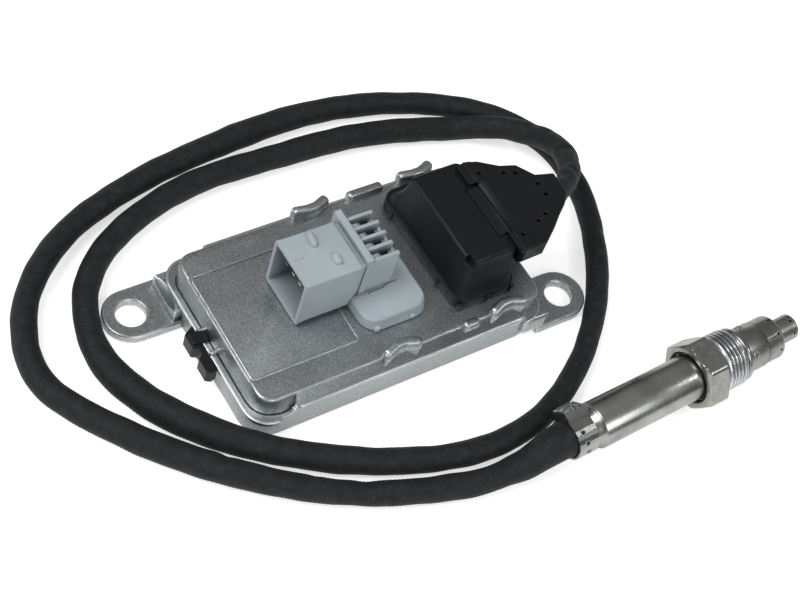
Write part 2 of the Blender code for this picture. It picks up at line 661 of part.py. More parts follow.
def make_housing_tray(material):
    """The lower casting: floor, walls, end lips, bolt ears, seal ledge and board bosses."""
    chamfered = tray_outline(TRAY_BASE_CHAMFER)
    tray = loft(
        "housing_tray",
        [
            at_height(chamfered, 0.0),
            at_height(tray_outline(0), TRAY_BASE_CHAMFER),
            at_height(tray_outline(0), TRAY_SIDE_HEIGHT),
        ],
        material,
    )
    far = TRAY_LENGTH
    cuts = []
    for side in (-1, 1):
        low_end = side * (TRAY_LENGTH / 2 + LIP_OVERHANG_X - LIP_END_LENGTH + DRAIN_NOTCH_LENGTH * -1)
        cuts.append(block(
            f"end_step_{side}",
            sorted((low_end, side * far)),
            (-far, far),
            (TRAY_END_HEIGHT, TRAY_SIDE_HEIGHT * 2),
        ))
    combine(tray, cuts, "DIFFERENCE")
    additions = [make_end_lip(side) for side in (-1, 1)]
    additions += [make_ear(side) for side in (-1, 1)]
    additions += [make_ramp(side) for side in (-1, 1)]
    combine(tray, additions, "UNION")
    rebate = rebate_inset()
    cavity = loft("tray_cavity", [
        at_height(tray_outline(TRAY_WALL_THICKNESS), TRAY_FLOOR_THICKNESS),
        at_height(tray_outline(TRAY_WALL_THICKNESS), LEDGE_HEIGHT),
        at_height(tray_outline(rebate), LEDGE_HEIGHT),
        at_height(tray_outline(rebate), TRAY_SIDE_HEIGHT * 2),
    ])
    outer, inner = seal_outlines(0)
    groove = frame_ring("seal_groove", outer, inner, LEDGE_HEIGHT - SEAL_GROOVE_DEPTH, LEDGE_HEIGHT + 0.001)
    notch = block(
        "clip_notch",
        (-TRAY_LENGTH, -TRAY_LENGTH / 2 + rebate + 0.0004),
        (CLIP_NOTCH_Y - CLIP_NOTCH_WIDTH / 2, CLIP_NOTCH_Y + CLIP_NOTCH_WIDTH / 2),
        (CLIP_TOP_HEIGHT - CLIP_TONGUE_THICKNESS - FIT_GAP, TRAY_SIDE_HEIGHT * 2),
    )
    holes = [
        turned(
            f"bolt_hole_{side}",
            [
                (-0.001, 0),
                (-0.001, EAR_HOLE_DIAMETER / 2),
                (EAR_THICKNESS - EAR_EDGE_BEVEL, EAR_HOLE_DIAMETER / 2),
                (EAR_THICKNESS + 0.001, EAR_HOLE_DIAMETER / 2 + EAR_EDGE_BEVEL + 0.001),
                (EAR_THICKNESS + 0.001, 0),
            ],
            axis="Z",
            centre=(side * EAR_HOLE_SPACING_X / 2, -side * EAR_HOLE_SPACING_Y / 2, 0),
        )
        for side in (-1, 1)
    ]
    combine(tray, [cavity, groove, notch] + holes, "DIFFERENCE")
    bosses = [make_boss(index, place) for index, place in enumerate(boss_places())]
    combine(tray, bosses, "UNION")
    return tray


def make_housing_seal(material):
    """The gasket that lies in the tray's groove under the cover."""
    outer, inner = seal_outlines(FIT_GAP)
    low = LEDGE_HEIGHT - SEAL_GROOVE_DEPTH + FIT_GAP
    return frame_ring("housing_seal", outer, inner, low, LEDGE_HEIGHT, material)


def plateau_outline(inset):
    """The cover's top outline, pulled in by an inset."""
    return centred_rectangle(
        PLATEAU_LENGTH - 2 * inset,
        PLATEAU_WIDTH - 2 * inset,
        PLATEAU_CORNER_RADIUS - inset * 0.9,
        PLATEAU_SHIFT_X,
    )


def make_band(side):
    """The sloping shoulder that overhangs the tray's long wall, faded out at its ends."""
    edge_y = PLATEAU_EDGE_Y
    profile = (
        (edge_y - 0.0020, TRAY_SIDE_HEIGHT + FIT_GAP),
        (edge_y + BAND_OVERHANG, TRAY_SIDE_HEIGHT + FIT_GAP),
        (edge_y + BAND_OVERHANG, BAND_EDGE_HEIGHT - 0.0004),
        (edge_y + BAND_OVERHANG - 0.0003, BAND_EDGE_HEIGHT),
        (edge_y - 0.0001, COVER_TOP_HEIGHT - 0.0003),
        (edge_y - 0.0020, COVER_TOP_HEIGHT - 0.0006),
    )
    stations = (
        (BAND_START_X, 0.80),
        (BAND_START_X + 0.0010, 1.0),
        (BAND_END_X - 0.0035, 1.0),
        (BAND_END_X, 0.25),
    )
    rings = []
    for x, reach in stations:
        ring = []
        for y, z in profile:
            outward = max(y - edge_y, 0) * reach
            ring.append((x, side * (min(y, edge_y) + outward), z))
        rings.append(ring)
    return loft(f"band_{side}", rings)


def make_hook(side, centre_x):
    """One of the four bent ridges: its middle stands further in than its ends."""
    reach = (HOOK_LENGTH - HOOK_THICKNESS) / 2
    path = (
        (centre_x - reach, side * HOOK_END_Y),
        (centre_x - HOOK_FLAT_LENGTH / 2, side * HOOK_MIDDLE_Y),
        (centre_x + HOOK_FLAT_LENGTH / 2, side * HOOK_MIDDLE_Y),
        (centre_x + reach, side * HOOK_END_Y),
    )
    tops = (HOOK_TOP_HEIGHT - HOOK_END_DROP, HOOK_TOP_HEIGHT, HOOK_TOP_HEIGHT, HOOK_TOP_HEIGHT)
    return ridge(f"hook_{side}_{centre_x:.3f}", path, tops, HOOK_THICKNESS, RIDGE_FOOT_HEIGHT)


def straight_ridge(name, centre_x, y, length, thickness, top):
    """A short straight ridge along X."""
    reach = (length - thickness) / 2
    path = ((centre_x - reach, y), (centre_x + reach, y))
    return ridge(name, path, (top, top), thickness, RIDGE_FOOT_HEIGHT)


def make_housing_cover(material):
    """The upper casting: plateau, shoulders, ridges, label recess and connector windows."""
    flange_inset = rebate_inset() + FIT_GAP
    flange_bottom = LEDGE_HEIGHT + FIT_GAP
    rings = [
        at_height(tray_outline(flange_inset), flange_bottom),
        at_height(tray_outline(flange_inset), TRAY_END_HEIGHT),
    ]
    fillet_steps = 3
    for step in range(fillet_steps + 1):
        angle = math.pi / 2 * step / fillet_steps
        inset = PLATEAU_EDGE_FILLET * (1 - math.cos(angle))
        z = COVER_TOP_HEIGHT - PLATEAU_EDGE_FILLET * (1 - math.sin(angle))
        rings.append(at_height(plateau_outline(inset), z))
    cover = loft("housing_cover", rings, material)
    additions = [make_band(side) for side in (-1, 1)]
    additions += [make_hook(side, x) for side in (-1, 1) for x in HOOK_CENTRES_X]
    additions.append(straight_ridge("back_fin", FIN_CENTRE_X, FIN_Y, FIN_LENGTH, FIN_THICKNESS, FIN_TOP_HEIGHT))
    additions.append(straight_ridge("front_stub", STUB_CENTRE_X, STUB_Y, STUB_LENGTH, STUB_THICKNESS, STUB_TOP_HEIGHT))
    combine(cover, additions, "UNION")
    recess_outline = rounded_rectangle(
        -TRAY_LENGTH, RECESS_END_X, -RECESS_WIDTH / 2, RECESS_WIDTH / 2, RECESS_CORNER_RADIUS
    )
    recess = loft("label_recess", [
        at_height(recess_outline, COVER_TOP_HEIGHT - RECESS_DEPTH),
        at_height(recess_outline, COVER_TOP_HEIGHT * 2),
    ])
    hollow = loft("cover_hollow", [
        at_height(tray_outline(flange_inset + COVER_WALL_THICKNESS), 0.0),
        at_height(tray_outline(flange_inset + COVER_WALL_THICKNESS), COVER_TOP_HEIGHT - COVER_ROOF_THICKNESS),
    ])
    windows = [
        terminal_window("supply_window", SUPPLY_TERMINAL_DROP_X, SUPPLY_CENTRE_Y, SUPPLY_TERMINAL_COUNT),
        terminal_window("header_window", HEADER_TERMINAL_DROP_X, HEADER_CENTRE_Y, HEADER_TERMINAL_COUNT),
    ]
    combine(cover, [recess, hollow] + windows, "DIFFERENCE")
    return cover


def terminal_window(name, centre_x, centre_y, count):
    """The opening in the cover's roof that a row of terminals passes through."""
    half_y = (count - 1) * TERMINAL_PITCH / 2 + TERMINAL_WIDTH / 2 + 0.0012
    half_x = TERMINAL_THICKNESS / 2 + 0.0014
    outline = rounded_rectangle(centre_x - half_x, centre_x + half_x, centre_y - half_y, centre_y + half_y, 0.0008, 2)
    return loft(name, [
        at_height(outline, COVER_TOP_HEIGHT - COVER_ROOF_THICKNESS * 2),
        at_height(outline, COVER_TOP_HEIGHT * 1.5),
    ])


def make_retaining_clip(material):
    """The black clip that stands outside the left wall and hooks over it through the notch."""
    wall_x = -TRAY_LENGTH / 2 - LIP_OVERHANG_X - FIT_GAP
    far_x = wall_x - CLIP_DEPTH + FIT_GAP
    waist_x = wall_x - CLIP_DEPTH / 2
    outline = [
        (wall_x, CLIP_BACK_Y),
        (far_x, CLIP_BACK_Y - 0.0022),
        (far_x, 0.0011),
        (waist_x, 0.0002),
        (waist_x, -0.0020),
        (far_x, -0.0032),
        (far_x, CLIP_FRONT_Y + 0.0010),
        (waist_x, CLIP_FRONT_Y),
        (wall_x, CLIP_FRONT_Y + 0.0006),
    ]
    tongue_bottom = CLIP_TOP_HEIGHT - CLIP_TONGUE_THICKNESS
    clip = loft(
        "retaining_clip",
        [at_height(outline, CLIP_BOTTOM_HEIGHT), at_height(outline, tongue_bottom + 0.0004)],
        material,
    )
    tongue_end_x = -TRAY_LENGTH / 2 + rebate_inset()
    tongue = block(
        "clip_tongue",
        (far_x + 0.0006, tongue_end_x),
        (CLIP_TONGUE_Y - CLIP_TONGUE_WIDTH / 2, CLIP_TONGUE_Y + CLIP_TONGUE_WIDTH / 2),
        (tongue_bottom, CLIP_TOP_HEIGHT),
    )
    combine(clip, [tongue], "UNION")
    return clip


def make_circuit_board(material):
    """The board, drilled for its pegs and for both rows of terminals."""
    low = board_bottom()
    outline = centred_rectangle(BOARD_LENGTH, BOARD_WIDTH, BOARD_CORNER_RADIUS)
    board = loft("circuit_board", [at_height(outline, low), at_height(outline, low + BOARD_THICKNESS)], material)
    holes = []
    for index, place in enumerate(boss_places()):
        radius = BOARD_PEG_DIAMETER / 2 + FIT_GAP
        profile = disc_profile(low - 0.001, low + BOARD_THICKNESS + 0.001, radius)
        holes.append(turned(f"peg_hole_{index}", profile, axis="Z", centre=(*place, 0), steps=SMALL_ROUND_STEPS))
    for x, places in (
        (SUPPLY_TERMINAL_DROP_X, terminal_places(SUPPLY_CENTRE_Y, SUPPLY_TERMINAL_COUNT)),
        (HEADER_TERMINAL_DROP_X, terminal_places(HEADER_CENTRE_Y, HEADER_TERMINAL_COUNT)),
    ):
        for y in places:
            half_x = TERMINAL_THICKNESS / 2 + FIT_GAP
            half_y = TERMINAL_WIDTH / 2 + FIT_GAP
            holes.append(block(
                f"board_slot_{x:.3f}_{y:.4f}",
                (x - half_x, x + half_x),
                (y - half_y, y + half_y),
                (low - 0.001, low + BOARD_THICKNESS + 0.001),
            ))
    combine(board, holes, "DIFFERENCE")
    return board


def make_board_parts(chip_material, metal_material):
    """The larger components that stand on the board."""
    top = board_bottom() + BOARD_THICKNESS + FIT_GAP
    chips = (
        ("control_chip", -0.0240, 0.0020, 0.0140, 0.0140, 0.0016),
        ("heater_driver_chip", 0.0130, -0.0120, 0.0100, 0.0090, 0.0020),
        ("amplifier_chip", 0.0125, 0.0130, 0.0080, 0.0050, 0.0015),
    )
    for name, x, y, length, width, height in chips:
        outline = rounded_rectangle(x - length / 2, x + length / 2, y - width / 2, y + width / 2, 0.0004, 1)
        loft(name, [at_height(outline, top), at_height(outline, top + height)], chip_material)
    capacitor_x = CAPACITOR_END_INSET - BOARD_LENGTH / 2
    capacitor_y = BOARD_WIDTH / 2 - CAPACITOR_SIDE_INSET
    for index, (x, y) in enumerate(((capacitor_x, capacitor_y), (capacitor_x, -capacitor_y))):
        profile = disc_profile(top, top + CAPACITOR_HEIGHT, CAPACITOR_DIAMETER / 2)
        turned(f"filter_capacitor_{index + 1}", profile, metal_material, axis="Z", centre=(x, y, 0), steps=16)


def terminal_places(centre_y, count):
    """Y of each terminal in a row."""
    return [centre_y + (index - (count - 1) / 2) * TERMINAL_PITCH for index in range(count)]


def elbow_outline(tip_x, drop_x, height, bottom, thickness, sign):
    """Side view of a terminal: along X at a height, round a bend, then straight down."""
    half = thickness / 2
    bend_x = drop_x + sign * TERMINAL_BEND_RADIUS
    bend_z = height - TERMINAL_BEND_RADIUS
    inner, outer = TERMINAL_BEND_RADIUS - half, TERMINAL_BEND_RADIUS + half
    steps = 4
    outline = [(tip_x, height - half)]
    for step in range(steps + 1):
        angle = math.pi / 2 * step / steps
        outline.append((bend_x - sign * inner * math.sin(angle), bend_z + inner * math.cos(angle)))
    outline += [(drop_x + sign * half, bottom), (drop_x - sign * half, bottom)]
    for step in range(steps, -1, -1):
        angle = math.pi / 2 * step / steps
        outline.append((bend_x - sign * outer * math.sin(angle), bend_z + outer * math.cos(angle)))
    outline.append((tip_x, height + half))
    return outline


def make_elbow(name, tip_x, drop_x, height, bottom, y, grow=0.0, material=None):
    """A bent flat terminal, or with grow the passage that it runs through."""
    sign = 1 if tip_x > drop_x else -1
    outline = elbow_outline(tip_x, drop_x, height, bottom, TERMINAL_THICKNESS + 2 * grow, sign)
    half = TERMINAL_WIDTH / 2 + grow
    return loft(name, [at_side(outline, y - half), at_side(outline, y + half)], material)


def make_terminals(material):
    """The supply pins and the header's terminals, each bent once and soldered in the board."""
    bottom = board_bottom() - TERMINAL_TAIL
    for index, y in enumerate(terminal_places(SUPPLY_CENTRE_Y, SUPPLY_TERMINAL_COUNT)):
        make_elbow(f"supply_pin_{index + 1}", SUPPLY_TERMINAL_TIP_X, SUPPLY_TERMINAL_DROP_X,
                   SUPPLY_TERMINAL_HEIGHT, bottom, y, material=material)
    for index, y in enumerate(terminal_places(HEADER_CENTRE_Y, HEADER_TERMINAL_COUNT)):
        make_elbow(f"header_terminal_{index + 1}", HEADER_TERMINAL_TIP_X, HEADER_TERMINAL_DROP_X,
                   HEADER_TERMINAL_HEIGHT, bottom, y, material=material)


def seal_ring_outlines(x_low, x_high, y_low, y_high, radius, margin):
    """Outer and inner outlines of the groove under a connector's flange."""
    outlines = []
    for inset in (CONNECTOR_SEAL_INSET + margin, CONNECTOR_SEAL_INSET + CONNECTOR_SEAL_WIDTH - margin):
        outlines.append(rounded_rectangle(
            x_low + inset, x_high - inset, y_low + inset, y_high - inset, max(radius - inset, 0.0008)
        ))
    return outlines


def supply_flange_box():
    """X and Y limits and corner radius of the supply connector's flange."""
    return (SUPPLY_FLANGE_LOW_X, SUPPLY_FLANGE_HIGH_X, SUPPLY_FLANGE_LOW_Y, SUPPLY_FLANGE_HIGH_Y, SUPPLY_FLANGE_RADIUS)


def header_flange_box():
    """X and Y limits and corner radius of the sensor header's flange."""
    return (HEADER_FLANGE_LOW_X, HEADER_FLANGE_HIGH_X, HEADER_FLANGE_LOW_Y, HEADER_FLANGE_HIGH_Y, HEADER_FLANGE_RADIUS)


def make_connector_seal(name, flange_box, material):
    """The ring that seals a connector's flange to the cover."""
    outer, inner = seal_ring_outlines(*flange_box, FIT_GAP)
    low = COVER_TOP_HEIGHT + FIT_GAP
    return frame_ring(name, outer, inner, low, low + CONNECTOR_SEAL_HEIGHT - FIT_GAP, material)


def make_seal_cutter(name, flange_box):
    """The groove in the underside of a connector's flange."""
    outer, inner = seal_ring_outlines(*flange_box, 0)
    low = COVER_TOP_HEIGHT + FIT_GAP
    return frame_ring(name, outer, inner, low - 0.001, low + CONNECTOR_SEAL_HEIGHT)


def socket_ring(x, grow=0.0):
    """Outline of the supply socket's outside at a place along X."""
    half_y = SOCKET_WIDTH / 2 + grow
    half_z = SOCKET_HEIGHT / 2 + grow
    radius = max(SOCKET_CORNER_RADIUS + grow, 0.0004)
    outline = rounded_rectangle(
        SUPPLY_CENTRE_Y - half_y, SUPPLY_CENTRE_Y + half_y,
        SUPPLY_TERMINAL_HEIGHT - half_z, SUPPLY_TERMINAL_HEIGHT + half_z,
        radius, 3,
    )
    return at_station(outline, x)


def pocket_cutter(index, y):
    """The stepped pocket over one supply terminal, open at the top and on the right."""
    top = RIB_BLOCK_TOP_HEIGHT + 0.005
    left = COLLAR_START_X + COLLAR_THICKNESS + 0.0006
    step_x = SUPPLY_TERMINAL_DROP_X - 0.0018
    wall_x = RIB_BLOCK_END_X - 0.0015
    outline = [
        (left, top),
        (left, SHALLOW_POCKET_HEIGHT),
        (step_x, SHALLOW_POCKET_HEIGHT),
        (step_x, DEEP_POCKET_HEIGHT),
        (wall_x, DEEP_POCKET_HEIGHT),
        (wall_x, SHALLOW_POCKET_HEIGHT - 0.001),
        (RIB_BLOCK_END_X + 0.001, SHALLOW_POCKET_HEIGHT - 0.001),
        (RIB_BLOCK_END_X + 0.001, top),
    ]
    half = (TERMINAL_PITCH - RIB_THICKNESS) / 2
    return loft(f"rib_pocket_{index}", [at_side(outline, y - half), at_side(outline, y + half)])


def make_supply_connector(material):
    """The pale connector: flange, ribbed riser, collar plate and a hooded socket facing left."""
    x_low, x_high, y_low, y_high, radius = supply_flange_box()
    bottom = COVER_TOP_HEIGHT + FIT_GAP
    draft = SUPPLY_FLANGE_DRAFT
    edge = 0.0006
    connector = loft(
        "supply_connector",
        [
            at_height(rounded_rectangle(x_low, x_high, y_low, y_high, radius), bottom),
            at_height(
                rounded_rectangle(x_low, x_high - draft, y_low + draft, y_high - draft, radius - draft),
                SUPPLY_FLANGE_TOP_HEIGHT - edge,
            ),
            at_height(
                rounded_rectangle(
                    x_low + edge, x_high - draft - edge,
                    y_low + draft + edge, y_high - draft - edge, radius - draft - edge,
                ),
                SUPPLY_FLANGE_TOP_HEIGHT,
            ),
        ],
        material,
    )
    rib_half = SUPPLY_TERMINAL_COUNT * TERMINAL_PITCH / 2 + RIB_THICKNESS / 2
    block_low_y, block_high_y = SUPPLY_CENTRE_Y - rib_half, SUPPLY_CENTRE_Y + rib_half
    inside = SUPPLY_FLANGE_TOP_HEIGHT - 0.002
    collar_end = COLLAR_START_X + COLLAR_THICKNESS
    riser = block("riser", (collar_end - 0.001, RIB_BLOCK_END_X), (block_low_y, block_high_y),
                  (inside, RIB_BLOCK_TOP_HEIGHT))
    foot_outline = [
        (collar_end - 0.0005, block_low_y - 0.0022),
        (RIB_BLOCK_END_X + 0.0001, block_low_y - 0.0006),
        (RIB_BLOCK_END_X + 0.0036, block_low_y - 0.0004),
        (RIB_BLOCK_END_X + 0.0036, block_high_y - 0.0015),
        (collar_end - 0.0005, block_high_y - 0.0015),
    ]
    foot_top = [(min(x, RIB_BLOCK_END_X - 0.0004), max(y, block_low_y - 0.0012)) for x, y in foot_outline]
    foot = loft("riser_foot", [
        at_height(foot_outline, inside),
        at_height(foot_outline, SUPPLY_FLANGE_TOP_HEIGHT + 0.0006),
        at_height(foot_top, SUPPLY_FOOT_HEIGHT),
    ])
    collar = block("collar_plate", (COLLAR_START_X, collar_end), (COLLAR_LOW_Y, COLLAR_HIGH_Y),
                   (bottom + 0.001, COLLAR_TOP_HEIGHT))
    socket = loft("socket_hood", [
        socket_ring(SOCKET_MOUTH_X, SOCKET_MOUTH_FLARE),
        socket_ring(SOCKET_MOUTH_X + SOCKET_MOUTH_LENGTH, 0),
        socket_ring(SOCKET_END_X - 0.0006, 0),
        socket_ring(SOCKET_END_X, -0.0006),
        socket_ring(COLLAR_START_X + 0.0005, -0.0006),
    ])
    socket_top = SUPPLY_TERMINAL_HEIGHT + SOCKET_HEIGHT / 2
    key_places = ((0.0108, 0.0054, 0.0024, 0.0066), (0.0142, -0.0039, 0.0023, 0.0056))
    keys = []
    for index, (inward, across, length, width) in enumerate(key_places):
        x, y = SOCKET_MOUTH_X + inward, SUPPLY_CENTRE_Y + across
        keys.append(block(f"socket_key_{index}", (x - length / 2, x + length / 2), (y - width / 2, y + width / 2),
                          (socket_top - 0.0005, socket_top + KEY_HEIGHT)))
    combine(connector, [riser, foot, collar, socket] + keys, "UNION")
    wall = SOCKET_WALL_THICKNESS
    mouth = loft("socket_space", [
        socket_ring(SOCKET_MOUTH_X - 0.002, -wall + SOCKET_MOUTH_FLARE),
        socket_ring(SOCKET_MOUTH_X + SOCKET_MOUTH_LENGTH, -wall),
        socket_ring(SOCKET_FLOOR_X, -wall),
    ])
    cuts = [mouth, make_seal_cutter("supply_seal_groove", supply_flange_box())]
    for index, y in enumerate(terminal_places(SUPPLY_CENTRE_Y, SUPPLY_TERMINAL_COUNT)):
        cuts.append(pocket_cutter(index, y))
        cuts.append(make_elbow(f"supply_passage_{index}", SOCKET_FLOOR_X - 0.001, SUPPLY_TERMINAL_DROP_X,
                               SUPPLY_TERMINAL_HEIGHT, bottom - 0.001, y, FIT_GAP))
    combine(connector, cuts, "DIFFERENCE")
    return connector


def header_pocket_box():
    """X, Y and Z limits of the pocket in the header that the plug's nose enters."""
    wall = HEADER_POCKET_WALL
    return (
        (HEADER_POCKET_START_X, HEADER_BLOCK_HIGH_X + 0.002),
        (HEADER_BLOCK_LOW_Y + wall, HEADER_BLOCK_HIGH_Y - wall),
        (HEADER_POCKET_FLOOR_HEIGHT, HEADER_POCKET_TOP_HEIGHT),
    )


def make_sensor_header(material):
    """The black header: flange, sloping shoulder and a block open towards the plug."""
    bottom = COVER_TOP_HEIGHT + FIT_GAP
    low_x, high_x, low_y, high_y, radius = header_flange_box()
    flange = rounded_rectangle(low_x, high_x, low_y, high_y, radius)
    edge = 0.0008
    flange_top = rounded_rectangle(low_x + edge, high_x - edge, low_y + edge, high_y - edge, radius - edge)
    body = rounded_rectangle(HEADER_BLOCK_LOW_X, HEADER_BLOCK_HIGH_X, HEADER_BLOCK_LOW_Y, HEADER_BLOCK_HIGH_Y,
                             HEADER_BLOCK_RADIUS)
    chamfer = HEADER_TOP_CHAMFER
    body_top = rounded_rectangle(HEADER_BLOCK_LOW_X + chamfer, HEADER_BLOCK_HIGH_X,
                                 HEADER_BLOCK_LOW_Y + chamfer, HEADER_BLOCK_HIGH_Y - chamfer, HEADER_BLOCK_RADIUS)
    header = loft(
        "sensor_header",
        [
            at_height(flange, bottom),
            at_height(flange, HEADER_FLANGE_TOP_HEIGHT - edge),
            at_height(flange_top, HEADER_FLANGE_TOP_HEIGHT),
            at_height(body, HEADER_SHOULDER_HEIGHT),
            at_height(body, HEADER_BLOCK_TOP_HEIGHT - chamfer),
            at_height(body_top, HEADER_BLOCK_TOP_HEIGHT),
        ],
        material,
    )
    corner = block(
        "header_corner_step",
        (HEADER_BLOCK_LOW_X - 0.004, HEADER_BLOCK_LOW_X + 0.0019),
        (HEADER_BLOCK_LOW_Y - 0.004, HEADER_BLOCK_LOW_Y + 0.0037),
        (HEADER_SHOULDER_HEIGHT, HEADER_BLOCK_TOP_HEIGHT + 0.004),
    )
    pocket = block("header_pocket", *header_pocket_box())
    tongue_seat = block(
        "tongue_seat",
        (TONGUE_END_X - FIT_GAP, HEADER_BLOCK_HIGH_X + 0.002),
        tongue_limits(FIT_GAP),
        (HEADER_BLOCK_TOP_HEIGHT - 0.0014, HEADER_BLOCK_TOP_HEIGHT + 0.004),
    )
    cuts = [corner, pocket, tongue_seat, make_seal_cutter("header_seal_groove", header_flange_box())]
    for index, y in enumerate(terminal_places(HEADER_CENTRE_Y, HEADER_TERMINAL_COUNT)):
        cuts.append(make_elbow(f"header_passage_{index}", HEADER_POCKET_START_X + 0.001, HEADER_TERMINAL_DROP_X,
                               HEADER_TERMINAL_HEIGHT, bottom - 0.001, y, FIT_GAP))
    combine(header, cuts, "DIFFERENCE")
    return header


def tongue_limits(margin):
    """Y limits of the shell's middle tongue between its two lips."""
    half = SHELL_HALF_WIDTH - SHELL_LIP_WIDTH
    return (SHELL_CENTRE_Y - half - margin, SHELL_CENTRE_Y + half + margin)


def shell_outline(inset):
    """Plan of the plug shell: a wide end that narrows in steps to the cable's neck."""
    length = SHELL_NECK_X - SHELL_START_X
    outline = []
    for sign, steps in ((1, SHELL_BACK_STEPS[::-1]), (-1, SHELL_FRONT_STEPS)):
        for along, share in steps:
            x = SHELL_START_X + length * along - (inset if along == 1.0 else 0)
            outline.append((x, SHELL_CENTRE_Y + sign * (SHELL_HALF_WIDTH * share - inset)))
    return outline


def cable_exit():
    """The cable's first point and its direction there, in metres."""
    start, following = (Vector(point) / 1000 for point in CABLE_ROUTE_MM[:2])
    return start, (following - start).normalized()


def add_exit_cylinder(name, start_offset, length, diameter, material=None):
    """A round piece on the cable's exit line, ending a given way before the cable."""
    start, direction = cable_exit()
    shape = bmesh.new()
    turn = direction.to_track_quat("Z", "Y").to_matrix().to_4x4()
    turn.translation = start - direction * (start_offset + length / 2)
    bmesh.ops.create_cone(shape, cap_ends=True, segments=SMALL_ROUND_STEPS * 2, radius1=diameter / 2,
                          radius2=diameter / 2, depth=length, matrix=turn)
    return add_solid(name, shape, material)


def make_plug_shell(material):
    """The cable's plug shell: lips over the header, a tongue between them and a nose inside it."""
    low = SHELL_TOP_HEIGHT - SHELL_THICKNESS
    chamfer = SHELL_EDGE_CHAMFER
    shell = loft(
        "plug_shell",
        [
            at_height(shell_outline(chamfer * 1.6), low),
            at_height(shell_outline(0), low + chamfer * 2),
            at_height(shell_outline(0), SHELL_TOP_HEIGHT - chamfer * 0.5),
            at_height(shell_outline(chamfer * 0.5), SHELL_TOP_HEIGHT),
        ],
        material,
    )
    lip_low = HEADER_BLOCK_TOP_HEIGHT + FIT_GAP
    tongue_low_y, tongue_high_y = tongue_limits(0)
    back_edge = SHELL_CENTRE_Y + SHELL_HALF_WIDTH
    front_edge = SHELL_CENTRE_Y - SHELL_HALF_WIDTH
    inside_x = SHELL_START_X + 0.002
    back_lip = block("back_lip", (SHELL_START_X - SHELL_LIP_REACH, inside_x),
                     (tongue_high_y + 0.0006, back_edge - 0.0006), (lip_low, SHELL_TOP_HEIGHT - 0.0001))
    front_lip = block("front_lip", (SHELL_START_X - SHELL_LIP_REACH * 0.5, inside_x),
                      (front_edge + 0.0006, tongue_low_y - 0.0006), (lip_low, SHELL_TOP_HEIGHT - 0.0001))
    tongue_rise = [
        (TONGUE_END_X, HEADER_BLOCK_TOP_HEIGHT - 0.0011),
        (inside_x, HEADER_BLOCK_TOP_HEIGHT - 0.0011),
        (inside_x, HEADER_BLOCK_TOP_HEIGHT + 0.0006),
        (TONGUE_END_X, HEADER_BLOCK_TOP_HEIGHT + 0.0001),
    ]
    tongue = loft("tongue", [at_side(tongue_rise, tongue_low_y), at_side(tongue_rise, tongue_high_y)])
    pocket_x, pocket_y, pocket_z = header_pocket_box()
    wall = SHELL_NOSE_THICKNESS
    nose_gap = FIT_GAP * 2
    nose = block(
        "shell_nose",
        (HEADER_TERMINAL_TIP_X + FIT_GAP * 2, inside_x),
        (pocket_y[0] + nose_gap, pocket_y[1] - nose_gap),
        (max(low + 0.0002, pocket_z[0] + nose_gap), pocket_z[1] - nose_gap),
    )
    tongue_slope = [
        (SHELL_START_X - 0.004, HEADER_BLOCK_TOP_HEIGHT + 0.0002),
        (SHELL_START_X + wall, SHELL_TOP_HEIGHT + 0.0001),
        (SHELL_START_X + wall, SHELL_TOP_HEIGHT + 0.002),
        (SHELL_START_X - 0.004, SHELL_TOP_HEIGHT + 0.002),
    ]
    slope = loft("tongue_slope", [at_side(tongue_slope, tongue_low_y), at_side(tongue_slope, tongue_high_y)])
    combine(shell, [back_lip, front_lip, tongue, nose], "UNION")
    grommet_bore = add_exit_cylinder("grommet_bore", FIT_GAP - 0.004, GROMMET_LENGTH + 0.004 + FIT_GAP,
                                     GROMMET_DIAMETER + 2 * FIT_GAP)
    cuts = [slope, grommet_bore]
    for index, (x, y) in enumerate(dimple_places()):
        profile = disc_profile(SHELL_TOP_HEIGHT - SHELL_DIMPLE_DEPTH, SHELL_TOP_HEIGHT + 0.002,
                               SHELL_DIMPLE_DIAMETER / 2)
        cuts.append(turned(f"shell_dimple_{index}", profile, axis="Z", centre=(x, y, 0), steps=8))
    combine(shell, cuts, "DIFFERENCE")
    return shell


def dimple_places():
    """The eight small moulded holes along both edges of the plug shell's top."""
    length = SHELL_NECK_X - SHELL_START_X
    half = SHELL_HALF_WIDTH
    places = []
    for along, across in ((0.09, 0.68), (0.39, 0.54), (0.53, 0.46), (0.71, 0.12)):
        x = SHELL_START_X + length * along
        places.append((x, SHELL_CENTRE_Y + half * across))
        places.append((x, SHELL_CENTRE_Y - half * across))
    return places


def smooth_route(knots, spacing):
    """Points on a smooth curve through the knots, about a spacing apart."""
    points = [knots[0]]
    for index in range(len(knots) - 1):
        start, end = knots[index], knots[index + 1]
        before = knots[index - 1] if index else start
        after = knots[index + 2] if index + 2 < len(knots) else end
        span = (end - start).length
        start_slope = (end - before) / ((end - start).length + (start - before).length)
        end_slope = (after - start) / ((after - end).length + (end - start).length)
        pieces = max(round(span / spacing), 1)
        curve = geometry.interpolate_bezier(
            start, start + start_slope * span / 3, end - end_slope * span / 3, end, pieces + 1
        )
        points += curve[1:]
    return points


def probe_direction():
    """The probe axis's unit vector. The probe lies with its front end a little higher."""
    turn = math.radians(PROBE_TURN_DEG)
    rise = math.radians(PROBE_RISE_DEG)
    return Vector((math.cos(rise) * math.cos(turn), math.cos(rise) * math.sin(turn), math.sin(rise)))


def probe_origin():
    """Station zero of the probe, at the height that rests the nut's rear edge on the base plane."""
    rise = math.radians(PROBE_RISE_DEG)
    height = NUT_ACROSS_FLATS / 2 * math.cos(rise) - NUT_START * math.sin(rise)
    return Vector((PROBE_START_X, PROBE_START_Y, height))


